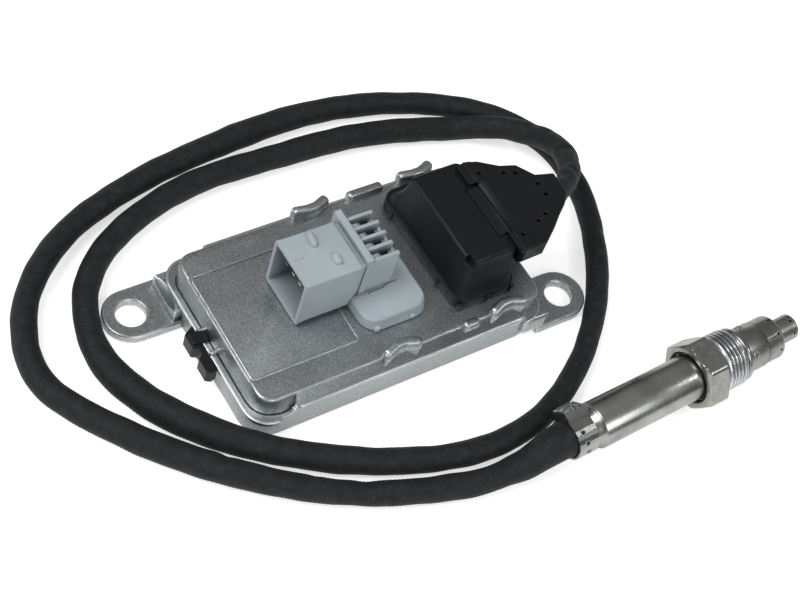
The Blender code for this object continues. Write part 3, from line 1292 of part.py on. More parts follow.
def make_cable(material):
    """The sleeved cable, lying in its loops, widened where it meets the clamp."""
    route = [Vector(point) / 1000 for point in CABLE_ROUTE_MM]
    start, direction = cable_exit()
    route[0] = start + direction * FIT_GAP
    axis = probe_direction()
    route.append(probe_origin() - axis * SLEEVE_LEAD_IN)
    route.append(probe_origin() + axis * (CLAMP_WIDTH - FIT_GAP))
    points = smooth_route(route, CABLE_POINT_SPACING)
    lowest = CABLE_DIAMETER / 2
    points = [Vector((point.x, point.y, max(point.z, lowest))) for point in points]
    curve = bpy.data.curves.new("cable", "CURVE")
    curve.dimensions = "3D"
    curve.bevel_depth = CABLE_DIAMETER / 2
    curve.bevel_resolution = 3
    curve.use_fill_caps = True
    spline = curve.splines.new("POLY")
    spline.points.add(len(points) - 1)
    behind_clamp = -(CLAMP_WIDTH - FIT_GAP)
    for index in range(len(points) - 1, -1, -1):
        spot = spline.points[index]
        spot.co = (*points[index], 1.0)
        widening = min(max(1 - behind_clamp / SLEEVE_FLARE_LENGTH, 0), 1)
        spot.radius = 1 + widening * (SLEEVE_END_DIAMETER / CABLE_DIAMETER - 1)
        if index:
            behind_clamp += (points[index] - points[index - 1]).length
    cable = bpy.data.objects.new("cable", curve)
    bpy.context.scene.collection.objects.link(cable)
    curve.materials.append(material)
    return cable


def make_cable_clamp(parent, material):
    """The steel band round the sleeve's end, with its folded buckle."""
    inner = SLEEVE_END_DIAMETER / 2 + FIT_GAP
    outer = inner + CLAMP_THICKNESS
    clamp = turned("cable_clamp", tube_profile(0, CLAMP_WIDTH, inner, outer), material, parent)
    half = BUCKLE_WIDTH / 2
    top = outer + BUCKLE_HEIGHT
    seat = inner + CLAMP_THICKNESS * 0.4
    profile = [(-half, seat * 0.86), (half, seat * 0.86), (half, top - 0.0016), (half - 0.0012, top),
               (-half + 0.0012, top), (-half, top - 0.0016)]
    turn = math.radians(BUCKLE_ANGLE_DEG) - math.pi / 2
    rings = []
    for station in (-0.0003, CLAMP_WIDTH + 0.0002):
        ring = []
        for across, out in profile:
            y = across * math.cos(turn) - out * math.sin(turn)
            z = across * math.sin(turn) + out * math.cos(turn)
            ring.append((station, y, z))
        rings.append(ring)
    buckle = loft("buckle", rings, parent=parent)
    hole = turned("clamp_inside", disc_profile(-0.002, CLAMP_WIDTH + 0.002, inner), parent=parent)
    combine(clamp, [buckle], "UNION")
    combine(clamp, [hole], "DIFFERENCE")
    return clamp


def nut_end():
    """Station of the union nut's front end."""
    return NUT_START + NUT_HEX_LENGTH + THREAD_LENGTH


def collar_range():
    """Stations of the probe body's collar."""
    start = nut_end() + FIT_GAP
    return start, start + PROBE_COLLAR_LENGTH


def make_probe_tube(parent, material):
    """The long steel tube, necked down at the rear, that the union nut slides over."""
    outer, neck = TUBE_DIAMETER / 2, TUBE_NECK_DIAMETER / 2
    start = CLAMP_WIDTH + FIT_GAP
    neck_end = start + TUBE_NECK_LENGTH
    shoulder = neck_end + TUBE_SHOULDER_LENGTH
    end = collar_range()[0] - FIT_GAP
    wall = TUBE_WALL
    profile = [
        (start, neck - wall), (start, neck), (neck_end, neck), (shoulder, outer - 0.0002),
        (shoulder + 0.0003, outer), (end, outer), (end, outer - wall),
        (shoulder + wall, outer - wall), (neck_end + wall, neck - wall),
    ]
    return turned("probe_tube", profile, material, parent)


def make_probe_grommet(parent, material):
    """The rubber bung that seals the wires into the tube's rear."""
    start = CLAMP_WIDTH + FIT_GAP * 2
    neck_end = CLAMP_WIDTH + FIT_GAP + TUBE_NECK_LENGTH
    neck = TUBE_NECK_DIAMETER / 2 - TUBE_WALL - FIT_GAP
    wide = TUBE_DIAMETER / 2 - TUBE_WALL - FIT_GAP
    end = contact_holder_range()[0] - FIT_GAP
    wide_start = neck_end + TUBE_SHOULDER_LENGTH + TUBE_WALL + FIT_GAP
    widening = neck_end + TUBE_WALL + FIT_GAP
    profile = [(start, 0), (start, neck), (widening, neck), (wide_start, wide), (end, wide), (end, 0)]
    return turned("probe_grommet", profile, material, parent)


def body_rear():
    """Station of the probe body's rear end."""
    return collar_range()[0] - PROBE_BODY_REAR_LENGTH


def contact_holder_range():
    """Stations of the contact holder, just behind the probe body."""
    end = body_rear() - FIT_GAP
    return end - CONTACT_HOLDER_LENGTH, end


def make_probe_body(parent, material):
    """The turned body: a rear sleeve in the tube, the seating collar and a front spigot."""
    collar_start, collar_end = collar_range()
    sleeve = TUBE_DIAMETER / 2 - TUBE_WALL - FIT_GAP
    spigot = OUTER_SHIELD_DIAMETER / 2 - SHIELD_WALL - FIT_GAP
    bore = PROBE_BORE_DIAMETER / 2
    throat = INNER_SHIELD_DIAMETER / 2 + FIT_GAP
    rim = COLLAR_DIAMETER / 2
    front = collar_end + PROBE_SPIGOT_LENGTH
    register = OUTER_SHIELD_DIAMETER / 2 + FIT_GAP
    register_floor = collar_end - SHIELD_REGISTER_DEPTH
    bevel = 0.0003
    profile = [
        (body_rear(), bore), (body_rear(), sleeve), (collar_start, sleeve),
        (collar_start, rim - bevel), (collar_start + bevel, rim), (collar_end - bevel, rim),
        (collar_end, rim - bevel), (collar_end, register), (register_floor, register),
        (register_floor, spigot), (front, spigot), (front, throat),
        (collar_start + PROBE_COLLAR_LENGTH * 0.6, throat), (collar_start + PROBE_COLLAR_LENGTH * 0.6, bore),
    ]
    return turned("probe_body", profile, material, parent)


def hexagon(across_flats, x):
    """A hexagon ring with a flat at the bottom."""
    radius = across_flats / 2 / math.cos(math.pi / 6)
    return [(x, radius * math.cos(math.pi * k / 3), radius * math.sin(math.pi * k / 3)) for k in range(6)]


def make_union_nut(parent, material):
    """The captive hexagon nut with its threaded sleeve. A fine thread is left off the solid."""
    start, shoulder, end = NUT_START, NUT_START + NUT_HEX_LENGTH, nut_end()
    flat = NUT_ACROSS_FLATS / 2
    corner = flat / math.cos(math.pi / 6)
    nut = loft("union_nut", [hexagon(NUT_ACROSS_FLATS, start), hexagon(NUT_ACROSS_FLATS, shoulder)],
               material, parent)
    lean = NUT_CHAMFER
    barrel = turned("nut_barrel", [
        (start - 0.00001, 0), (start - 0.00001, flat - 0.0003), (start + lean, corner + 0.0006),
        (shoulder - lean, corner + 0.0006), (shoulder + 0.00001, flat - 0.0003), (shoulder + 0.00001, 0),
    ], parent=parent, steps=ROUND_STEPS + 8)
    combine(nut, [barrel], "INTERSECT")
    thread, relief = THREAD_DIAMETER / 2, THREAD_RELIEF_DIAMETER / 2
    groove_end = shoulder + THREAD_RELIEF_LENGTH
    undercut = turned("shoulder_undercut", tube_profile(
        shoulder - SHOULDER_UNDERCUT_DEPTH, shoulder + 0.001, relief - 0.001, thread + FIT_GAP / 3
    ), parent=parent)
    combine(nut, [undercut], "DIFFERENCE")
    sleeve = turned("nut_sleeve", [
        (shoulder - 0.002, 0), (shoulder - 0.002, relief), (groove_end, relief),
        (groove_end + 0.0006, thread), (end - THREAD_CHAMFER, thread),
        (end, thread - THREAD_CHAMFER), (end, 0),
    ], parent=parent)
    combine(nut, [sleeve], "UNION")
    bore, wide = NUT_BORE_DIAMETER / 2, NUT_COUNTERBORE_DIAMETER / 2
    step = start + NUT_COUNTERBORE_DEPTH
    hole = turned("nut_bore", [
        (start - 0.002, 0), (start - 0.002, wide), (step, wide), (step + 0.0006, bore),
        (end + 0.002, bore), (end + 0.002, 0),
    ], parent=parent)
    combine(nut, [hole], "DIFFERENCE")
    return nut


def gas_hole_cutters(name, station, reach, count, parent):
    """Bars across the axis that pierce a shield's wall all round."""
    cutters = []
    for index in range(count // 2):
        angle = math.pi * (index + 0.5) / (count // 2)
        shape = bmesh.new()
        turn = Vector((0, math.cos(angle), math.sin(angle))).to_track_quat("Z", "Y").to_matrix().to_4x4()
        turn.translation = (station, 0, 0)
        bmesh.ops.create_cone(shape, cap_ends=True, segments=8, radius1=GAS_HOLE_DIAMETER / 2,
                              radius2=GAS_HOLE_DIAMETER / 2, depth=2 * reach, matrix=turn)
        cutters.append(add_solid(f"{name}_{index}", shape, parent=parent))
    return cutters


def outer_shield_end():
    """Station of the outer cup's front."""
    return collar_range()[1] + OUTER_SHIELD_LENGTH


def make_outer_shield(parent, material):
    """The outer protection cup, pierced near its front edge."""
    start = collar_range()[1] - SHIELD_REGISTER_DEPTH + FIT_GAP
    end = outer_shield_end()
    outer, wall = OUTER_SHIELD_DIAMETER / 2, SHIELD_WALL
    hole = INNER_SHIELD_DIAMETER / 2 + FIT_GAP
    fillet = SHIELD_EDGE_FILLET
    shield = turned("outer_shield", [
        (start, outer - wall), (start, outer), (end - fillet, outer), (end - fillet * 0.3, outer - fillet * 0.3),
        (end, outer - fillet), (end, hole), (end - wall, hole), (end - wall, outer - fillet),
        (end - fillet, outer - wall),
    ], material, parent)
    holes = gas_hole_cutters("outer_gas_hole", end - fillet - GAS_HOLE_DIAMETER, outer + 0.002,
                             GAS_HOLE_COUNT, parent)
    combine(shield, holes, "DIFFERENCE")
    return shield


def inner_shield_end():
    """Station of the probe's very tip."""
    return outer_shield_end() + INNER_SHIELD_REACH


def make_inner_shield(parent, material):
    """The inner protection cup: closed at its tip, held in the probe body's throat."""
    start = collar_range()[0] + PROBE_COLLAR_LENGTH * 0.6 + FIT_GAP
    end = inner_shield_end()
    outer, wall = INNER_SHIELD_DIAMETER / 2, SHIELD_WALL
    edge = 0.0004
    shield = turned("inner_shield", [
        (start, outer - wall), (start, outer), (end - edge, outer), (end, outer - edge), (end, 0),
        (end - wall, 0), (end - wall, outer - wall),
    ], material, parent, steps=24)
    holes = gas_hole_cutters("inner_gas_hole", end - 0.0020, outer + 0.002, 6, parent)
    combine(shield, holes, "DIFFERENCE")
    return shield


def element_range():
    """Stations of the ceramic sensing element."""
    end = inner_shield_end() - SHIELD_WALL - ELEMENT_TIP_GAP
    return end - ELEMENT_LENGTH, end


def make_slotted_disc(name, low, high, radius, material, parent, slot_low=None):
    """A round ceramic piece with a slot for the flat element through it."""
    disc = turned(name, disc_profile(low, high, radius), material, parent)
    half_y = ELEMENT_WIDTH / 2 + FIT_GAP
    half_z = ELEMENT_THICKNESS / 2 + FIT_GAP
    slot = block(f"{name}_slot", (low - 0.001 if slot_low is None else slot_low, high + 0.001),
                 (-half_y, half_y), (-half_z, half_z), parent=parent)
    combine(disc, [slot], "DIFFERENCE")
    return disc


def make_probe_inside(parent, ceramic, powder, holder):
    """The element and the stack that grips and seals it."""
    rear, tip = element_range()
    half_y, half_z = ELEMENT_WIDTH / 2, ELEMENT_THICKNESS / 2
    block("sensing_element", (rear, tip), (-half_y, half_y), (-half_z, half_z), ceramic, parent)
    radius = PROBE_BORE_DIAMETER / 2 - FIT_GAP
    seat = collar_range()[0] + PROBE_COLLAR_LENGTH * 0.6 - FIT_GAP
    front_start = seat - FRONT_INSULATOR_LENGTH
    packing_start = front_start - FIT_GAP - PACKING_LENGTH
    make_slotted_disc("front_insulator", front_start, seat, radius, ceramic, parent)
    make_slotted_disc("seal_packing", packing_start, front_start - FIT_GAP, radius, powder, parent)
    make_slotted_disc("rear_insulator", body_rear() + FIT_GAP, packing_start - FIT_GAP, radius, ceramic, parent)
    holder_start, holder_end = contact_holder_range()
    holder_radius = TUBE_DIAMETER / 2 - TUBE_WALL - FIT_GAP
    make_slotted_disc("contact_holder", holder_start, holder_end, holder_radius, holder, parent,
                      slot_low=rear - FIT_GAP)


def make_probe(materials):
    """The probe on its own axis, a little turned from the box's long side."""
    axis = bpy.data.objects.new("probe_axis", None)
    bpy.context.scene.collection.objects.link(axis)
    axis.location = probe_origin()
    axis.rotation_euler = (0, -math.radians(PROBE_RISE_DEG), math.radians(PROBE_TURN_DEG))
    make_cable_clamp(axis, materials["bright_steel"])
    make_probe_tube(axis, materials["bright_steel"])
    make_probe_grommet(axis, materials["rubber"])
    make_probe_body(axis, materials["bright_steel"])
    make_union_nut(axis, materials["plated_steel"])
    make_outer_shield(axis, materials["worn_steel"])
    make_inner_shield(axis, materials["worn_steel"])
    make_probe_inside(axis, materials["ceramic"], materials["powder"], materials["pale_plastic"])


def make_materials():
    """All finishes, by name."""
    return {
        "cast_aluminium": make_material("cast_aluminium", (0.52, 0.54, 0.55), 0.42, 1.0),
        "black_plastic": make_material("black_plastic", (0.018, 0.020, 0.021), 0.55),
        "grey_plastic": make_material("grey_plastic", (0.36, 0.42, 0.46), 0.5),
        "pale_plastic": make_material("pale_plastic", (0.70, 0.68, 0.62), 0.6),
        "rubber": make_material("rubber", (0.03, 0.03, 0.03), 0.8),
        "board_green": make_material("board_green", (0.02, 0.16, 0.07), 0.45),
        "tinned_copper": make_material("tinned_copper", (0.75, 0.74, 0.70), 0.3, 1.0),
        "bright_steel": make_material("bright_steel", (0.60, 0.59, 0.57), 0.28, 1.0),
        "plated_steel": make_material("plated_steel", (0.58, 0.56, 0.50), 0.34, 1.0),
        "worn_steel": make_material("worn_steel", (0.42, 0.41, 0.39), 0.42, 1.0),
        "ceramic": make_material("ceramic", (0.86, 0.85, 0.80), 0.5),
        "powder": make_material("powder", (0.72, 0.72, 0.70), 0.9),
        "cable_sleeve": make_material("cable_sleeve", (0.02, 0.022, 0.025), 0.75),
    }


def build():
    """Model every piece."""
    clear_scene()
    materials = make_materials()
    make_housing_tray(materials["cast_aluminium"])
    make_housing_seal(materials["rubber"])
    make_housing_cover(materials["cast_aluminium"])
    make_retaining_clip(materials["black_plastic"])
    make_circuit_board(materials["board_green"])
    make_board_parts(materials["black_plastic"], materials["bright_steel"])
    make_supply_connector(materials["grey_plastic"])
    make_connector_seal("supply_connector_seal", supply_flange_box(), materials["rubber"])
    make_sensor_header(materials["black_plastic"])
    make_connector_seal("sensor_header_seal", header_flange_box(), materials["rubber"])
    make_terminals(materials["tinned_copper"])
    make_plug_shell(materials["black_plastic"])
    add_exit_cylinder("cable_grommet", 0.0, GROMMET_LENGTH, GROMMET_DIAMETER, materials["rubber"])
    make_cable(materials["cable_sleeve"])
    make_probe(materials)


build()
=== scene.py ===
# %% [markdown]
# Dressing an exhaust gas sensor
#
# The sensor has a cast control box, a pale supply connector, a black plug, a sleeved cable and
# a steel probe. Its working solids come ready made from the frame. This script gives every
# surface its finish, and remakes the pieces whose looks live in small forms: threads, ribs,
# rounded casting edges and the folds of the cable's sleeve.

# %% Load the frame
import json
import math

import bmesh
import bpy
import numpy as np
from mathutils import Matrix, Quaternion, Vector


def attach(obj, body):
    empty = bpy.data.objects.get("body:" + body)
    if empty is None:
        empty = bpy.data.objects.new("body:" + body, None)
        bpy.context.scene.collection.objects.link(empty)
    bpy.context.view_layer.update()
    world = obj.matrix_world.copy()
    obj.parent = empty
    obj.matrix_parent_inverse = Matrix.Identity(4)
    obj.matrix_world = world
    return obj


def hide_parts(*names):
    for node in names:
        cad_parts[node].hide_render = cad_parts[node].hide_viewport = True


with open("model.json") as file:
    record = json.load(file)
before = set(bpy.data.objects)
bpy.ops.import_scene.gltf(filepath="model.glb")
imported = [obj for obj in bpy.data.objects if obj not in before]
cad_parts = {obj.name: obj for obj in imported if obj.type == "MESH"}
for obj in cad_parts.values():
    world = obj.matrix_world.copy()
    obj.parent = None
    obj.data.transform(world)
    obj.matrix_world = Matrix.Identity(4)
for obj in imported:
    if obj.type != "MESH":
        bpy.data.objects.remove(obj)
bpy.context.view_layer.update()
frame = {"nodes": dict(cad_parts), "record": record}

# %% [markdown]
# The camera comes first. The photograph was taken with a long lens from high on the left, with
# the camera rolled a little. A look-at rotation gives the aim, and one turn about the line of
# sight gives the roll.

# %% Camera
CAMERA_PLACE = Vector((-0.2321, -0.2240, 0.4355))
CAMERA_SIGHT = Vector((0.4547, 0.4023, -0.7946))
CAMERA_ROLL_DEG = 21.16
CAMERA_LENS_MM = 74.15
CAMERA_SENSOR_MM = 36
NEAREST_SEEN = 0.01


def place_camera():
    """Stand the camera, aim it along its line of sight, then roll it about that line."""
    data = bpy.data.cameras.new("photo_camera")
    data.lens = CAMERA_LENS_MM
    data.sensor_width = CAMERA_SENSOR_MM
    data.clip_start = NEAREST_SEEN
    camera = bpy.data.objects.new("photo_camera", data)
    bpy.context.scene.collection.objects.link(camera)
    camera.location = CAMERA_PLACE
    aim = CAMERA_SIGHT.to_track_quat("-Z", "Y")
    camera.rotation_mode = "QUATERNION"
    camera.rotation_quaternion = aim @ Quaternion((0, 0, 1), math.radians(CAMERA_ROLL_DEG))
    bpy.context.scene.camera = camera
    return camera


place_camera()

# %% [markdown]
# Materials are node trees. A few small helpers keep each finish short: one adds a node and sets
# its inputs, one links sockets, and one turns a grey pattern into a bump. Constants such as
# roughness of a plain finish sit on the shader's own sockets. How sheltered a place is, found by
# short rays sent out from it, paints shade into corners and hollows in every moulded or cast finish and in
# the nut's thread.

# %% Material helpers
EDGE_ROUNDING = 0.0005
SHELTER_RAYS = 8


def grey(value):
    """A grey as a colour with alpha."""
    return (value, value, value, 1.0)


class Finish:
    """A Principled material being wired up, with short ways to add nodes."""

    def __init__(self, name, colour, roughness, metallic=0.0):
        self.material = bpy.data.materials.new(name)
        self.material.use_nodes = True
        self.tree = self.material.node_tree
        self.shader = self.tree.nodes["Principled BSDF"]
        self.set("Base Color", (*colour, 1.0))
        self.set("Roughness", roughness)
        self.set("Metallic", metallic)

    def set(self, socket, value):
        """Set one of the shader's own sockets."""
        self.shader.inputs[socket].default_value = value

    def node(self, kind, settings=None, **inputs):
        """Add a node. Inputs are values, or sockets to link from. An input is given by its name, or
        as i and its number where the node has several of one name."""
        made = self.tree.nodes.new("ShaderNode" + kind)
        for key, value in (settings or {}).items():
            setattr(made, key, value)
        for key, value in inputs.items():
            numbered = key[0] == "i" and key[1:].isdigit()
            target = made.inputs[int(key[1:]) if numbered else key]
            if isinstance(value, bpy.types.NodeSocket):
                self.tree.links.new(value, target)
            else:
                target.default_value = value
        return made

    def link(self, output, socket):
        """Feed one of the shader's sockets."""
        self.tree.links.new(output, self.shader.inputs[socket])

    def place(self):
        """Object coordinates, in metres on the finished piece."""
        return self.node("TexCoord").outputs["Object"]

    def noise(self, scale, detail=3.0, roughness=0.5, where=None):
        """A cloudy grey pattern, scale in features per metre."""
        made = self.node("TexNoise", Scale=scale, Detail=detail, Roughness=roughness,
                         Vector=self.place() if where is None else where)
        return made.outputs["Fac"]

    def ramp(self, factor, stops):
        """Map a grey value to colours or greys at the given stops."""
        made = self.node("ValToRGB", Fac=factor)
        elements = made.color_ramp.elements
        while len(elements) < len(stops):
            elements.new(0.5)
        for element, (position, colour) in zip(elements, stops):
            element.position = position
            element.color = (*colour, 1.0) if isinstance(colour, tuple) else grey(colour)
        return made.outputs["Color"]

    def maths(self, operation, a, b=0.0):
        """One arithmetic step on grey values."""
        made = self.node("Math", {"operation": operation}, i0=a, i1=b)
        return made.outputs[0]

    def mix(self, factor, first, second):
        """Blend two colours by a grey factor."""
        made = self.node("Mix", {"data_type": "RGBA"}, i0=factor, i6=first, i7=second)
        return made.outputs[2]

    def darken(self, colour, shade):
        """Multiply a colour by a grey."""
        made = self.node("Mix", {"data_type": "RGBA", "blend_type": "MULTIPLY"}, i0=1.0, i6=colour, i7=shade)
        return made.outputs[2]

    def shelter(self, distance, rays=SHELTER_RAYS, inside=False):
        """Share of short rays that meet nothing of this piece: 1 in the open, 0 in a hollow.
        Rays sent inside leave the piece near its outer edges, and give 0 there."""
        made = self.node("AmbientOcclusion", {"inside": inside, "only_local": True, "samples": rays},
                         Distance=distance)
        return made.outputs["AO"]

    def rounded(self):
        """A normal that turns softly over each sharp edge."""
        return self.node("Bevel", {"samples": 4}, Radius=EDGE_ROUNDING).outputs["Normal"]

    def bump(self, height, distance, strength=1.0, below=None):
        """Turn a grey pattern into surface relief, distance in metres."""
        made = self.node("Bump", Height=height, Distance=distance, Strength=strength)
        if below is not None:
            self.tree.links.new(below, made.inputs["Normal"])
        return made.outputs["Normal"]


def cast_aluminium():
    """Die casting, shot blasted: a grey metal with a fine grain, with painted glints mixed into its colour.
    Rays sent into the metal leave it soon near an outer edge, which gets a painted highlight and a smoother
    finish where blasting and handling have rubbed it. Rays sent outwards meet the metal again in a corner,
    which gets painted shade."""
    finish = Finish("cast_aluminium", (0.46, 0.48, 0.49), 0.40, 1.0)
    grain = finish.noise(2300, 2.5, 0.65)
    sparkle = finish.noise(3600, 1.0, 0.5)
    clouds = finish.noise(70, 4.0)
    shade = finish.ramp(grain, [(0.30, (0.25, 0.27, 0.28)), (0.50, (0.41, 0.44, 0.45)),
                                (0.72, (0.64, 0.67, 0.68))])
    # Painted glints: bright specks mixed into the colour stand for the sparkle of the blasted grain.
    painted_glints = finish.ramp(sparkle, [(0.62, 0.0), (0.72, 0.75)])
    shade = finish.mix(painted_glints, shade, (0.90, 0.92, 0.93, 1.0))
    # Painted highlight along outer edges, found by rays sent inside; the same mask also makes the edges
    # smoother, as rubbed by handling.
    edge_wear_and_highlight = finish.ramp(finish.shelter(0.0013, 16, True), [(0.50, 0.9), (0.95, 0.0)])
    # Painted shade: corners where short rays meet the metal again are darkened.
    corner = finish.ramp(finish.shelter(0.0014), [(0.45, 0.40), (0.85, 1.0)])
    shade = finish.mix(edge_wear_and_highlight, shade, (0.86, 0.87, 0.87, 1.0))
    finish.link(finish.darken(shade, corner), "Base Color")
    dull = finish.ramp(clouds, [(0.3, 0.34), (0.7, 0.46)])
    finish.link(finish.mix(edge_wear_and_highlight, dull, grey(0.33)), "Roughness")
    skin = finish.bump(clouds, 0.00014, 0.6, finish.rounded())
    finish.link(finish.bump(grain, 0.00005, 0.6, skin), "Normal")
    return finish.material


def moulded_plastic(name, dark, light, roughness, relief=0.00002):
    """Moulded plastic: an even colour, a faint cloudiness and a fine eroded skin. Painted shade
    darkens it in close corners, and over a longer reach inside its pockets and sockets."""
    finish = Finish(name, light, roughness)
    finish.set("Specular IOR Level", 0.38)
    clouds = finish.noise(90, 3.0)
    skin = finish.noise(5200, 2.0, 0.6)
    # Painted shade: darker in close corners (corner), and over a longer reach deep in pockets and sockets
    # (hollow).
    corner = finish.ramp(finish.shelter(0.0022), [(0.40, 0.45), (0.85, 1.0)])
    hollow = finish.ramp(finish.shelter(0.045), [(0.16, 0.28), (0.60, 1.0)])
    shade = finish.darken(finish.ramp(clouds, [(0.30, dark), (0.70, light)]), corner)
    finish.link(finish.darken(shade, hollow), "Base Color")
    finish.link(finish.bump(skin, relief, 0.5, finish.rounded()), "Normal")
    return finish.material


def turned_steel(name, colour, roughness):
    """Turned or drawn steel: fine streaks round the axis, with slight staining."""
    finish = Finish(name, colour, roughness, 1.0)
    turning = finish.node("UVMap").outputs["UV"]
    scaled = finish.node("Mapping", Vector=turning, Scale=(14000.0, 6.0, 1.0)).outputs["Vector"]
    streaks = finish.noise(1.0, 2.0, 0.6, scaled)
    stains = finish.noise(140, 4.0)
    darker = tuple(channel * 0.72 for channel in colour)
    finish.link(finish.ramp(stains, [(0.32, darker), (0.62, colour)]), "Base Color")
    finish.link(finish.ramp(streaks, [(0.2, roughness * 0.8), (0.8, roughness * 1.35)]), "Roughness")
    speckle = finish.noise(3800, 2.0, 0.6)
    fine = finish.bump(speckle, 0.00001, 0.12)
    finish.link(finish.bump(streaks, 0.000004, 0.08, fine), "Normal")
    return finish.material


def plated_nut():
    """The nut's finish: dull steel on the hexagon and pale zinc on the thread. U is the station
    from the nut's rear, so the colours change at the shoulder."""
    finish = Finish("plated_steel", (0.43, 0.43, 0.41), 0.30, 1.0)
    along = finish.node("SeparateXYZ", Vector=finish.node("UVMap").outputs["UV"]).outputs[0]
    on_thread = finish.node("MapRange", Value=along, i1=0.0087, i2=0.0091).outputs[0]
    stains = finish.noise(420, 4.0, 0.6)
    steel = finish.ramp(stains, [(0.30, (0.34, 0.34, 0.32)), (0.62, (0.47, 0.47, 0.44))])
    zinc = finish.ramp(stains, [(0.30, (0.60, 0.64, 0.66)), (0.62, (0.84, 0.87, 0.88))])
    # Painted shade in the thread's grooves: the zinc darkens where short rays meet the nut again.
    zinc = finish.darken(zinc, finish.ramp(finish.shelter(0.0014, 12), [(0.35, 0.22), (0.95, 1.0)]))
    finish.link(finish.mix(on_thread, steel, zinc), "Base Color")
    finish.link(finish.mix(on_thread, grey(0.30), grey(0.34)), "Roughness")
    finish.link(finish.bump(finish.noise(3000, 2.0, 0.6), 0.00001, 0.3), "Normal")
    return finish.material


def woven_sleeve():
    """The cable's sleeve: dark woven yarn, crossing threads and a soft sheen."""
    finish = Finish("cable_sleeve", (0.010, 0.012, 0.013), 0.62)
    finish.set("Sheen Weight", 0.05)
    finish.set("Sheen Roughness", 0.4)
    finish.set("Specular IOR Level", 0.35)
    along, around, _ = finish.node("SeparateXYZ", Vector=finish.node("UVMap").outputs["UV"]).outputs
    threads = finish.maths("SINE", finish.maths("MULTIPLY", around, math.tau * 44))
    rows = finish.maths("SINE", finish.maths("MULTIPLY", along, math.tau * 900))
    weave = finish.maths("MULTIPLY", threads, rows)
    wear = finish.noise(420, 4.0, 0.65)
    shade = finish.ramp(wear, [(0.32, (0.006, 0.008, 0.009)), (0.58, (0.014, 0.017, 0.018)),
                               (0.80, (0.034, 0.038, 0.040))])
    finish.link(shade, "Base Color")
    finish.link(finish.bump(weave, 0.00007, 0.6), "Normal")
    return finish.material


FINISHES = {
    "cast_aluminium": cast_aluminium(),
    "black_plastic": moulded_plastic("black_plastic", (0.004, 0.006, 0.007), (0.007, 0.0095, 0.011),
                                     0.40),
    "grey_plastic": moulded_plastic("grey_plastic", (0.43, 0.50, 0.54), (0.49, 0.56, 0.60), 0.48),
    "pale_plastic": moulded_plastic("pale_plastic", (0.62, 0.60, 0.54), (0.70, 0.68, 0.62), 0.5),
    "rubber": moulded_plastic("rubber", (0.020, 0.020, 0.021), (0.032, 0.032, 0.033), 0.75),
    "board_green": moulded_plastic("board_green", (0.012, 0.11, 0.05), (0.02, 0.16, 0.07), 0.35),
    "ceramic": moulded_plastic("ceramic", (0.80, 0.79, 0.74), (0.86, 0.85, 0.80), 0.5),
    "powder": moulded_plastic("powder", (0.64, 0.64, 0.62), (0.74, 0.74, 0.72), 0.9, 0.0001),
    "tinned_copper": turned_steel("tinned_copper", (0.75, 0.74, 0.70), 0.30),
    "bright_steel": turned_steel("bright_steel", (0.47, 0.48, 0.46), 0.25),
    "plated_steel": plated_nut(),
    "worn_steel": turned_steel("worn_steel", (0.42, 0.415, 0.40), 0.33),
    "cable_sleeve": woven_sleeve(),
}
print("finishes", len(FINISHES))

# %% [markdown]
# Every CAD node keeps its shape unless a later cell replaces it, so each first gets the finish
# that the record names for it.

# %% Dress the CAD nodes
SLOT_OF = {part["node"]: part["material_slot"] for part in frame["record"]["subparts"]}


def dress(piece, slot):
    """Give a piece one finish."""
    piece.data.materials.clear()
    piece.data.materials.append(FINISHES[slot])


for node_name, node in frame["nodes"].items():
    dress(node, SLOT_OF[node_name])

# %% [markdown]
# New surfaces are grids of points: rows run along a piece and columns round it. One helper turns
# such a grid into a mesh with a UV map, closed at both ends where asked. Others read a mesh as
# arrays and merge the points that lie on each other.

# %% Grid surfaces
SAME_POINT = 1e-7
SAME_CAD_POINT = 2e-6
FLAT_DEG = 1.0


def mesh_points(mesh):
    """Places of a mesh's vertices, one row each."""
    flat = np.empty(3 * len(mesh.vertices))
    mesh.vertices.foreach_get("co", flat)
    return flat.reshape(-1, 3)


def corner_vertices(mesh):
    """The vertex number at each corner of each face."""
    corner = np.empty(len(mesh.loops), dtype=np.int32)
    mesh.loops.foreach_get("vertex_index", corner)
    return corner


def weld(mesh, distance=SAME_POINT, outward=True, whole_faces=False):
    """Merge doubled points. Where asked, flat faces become whole again, and all turn outwards."""
    shape = bmesh.new()
    shape.from_mesh(mesh)
    bmesh.ops.remove_doubles(shape, verts=shape.verts, dist=distance)
    if whole_faces:
        bmesh.ops.dissolve_limit(shape, angle_limit=math.radians(FLAT_DEG), verts=shape.verts,
                                 edges=shape.edges)
    if outward:
        bmesh.ops.recalc_face_normals(shape, faces=shape.faces)
    shape.to_mesh(mesh)
    shape.free()


def grid_faces(rows, columns):
    """Quads of a grid that closes on itself round its columns, as an array of corner numbers."""
    row = np.arange(rows - 1)[:, None]
    column = np.arange(columns)[None, :]
    after = (column + 1) % columns
    corners = (row * columns + column, row * columns + after,
               (row + 1) * columns + after, (row + 1) * columns + column)
    return np.stack(corners, axis=-1).reshape(-1, 4)


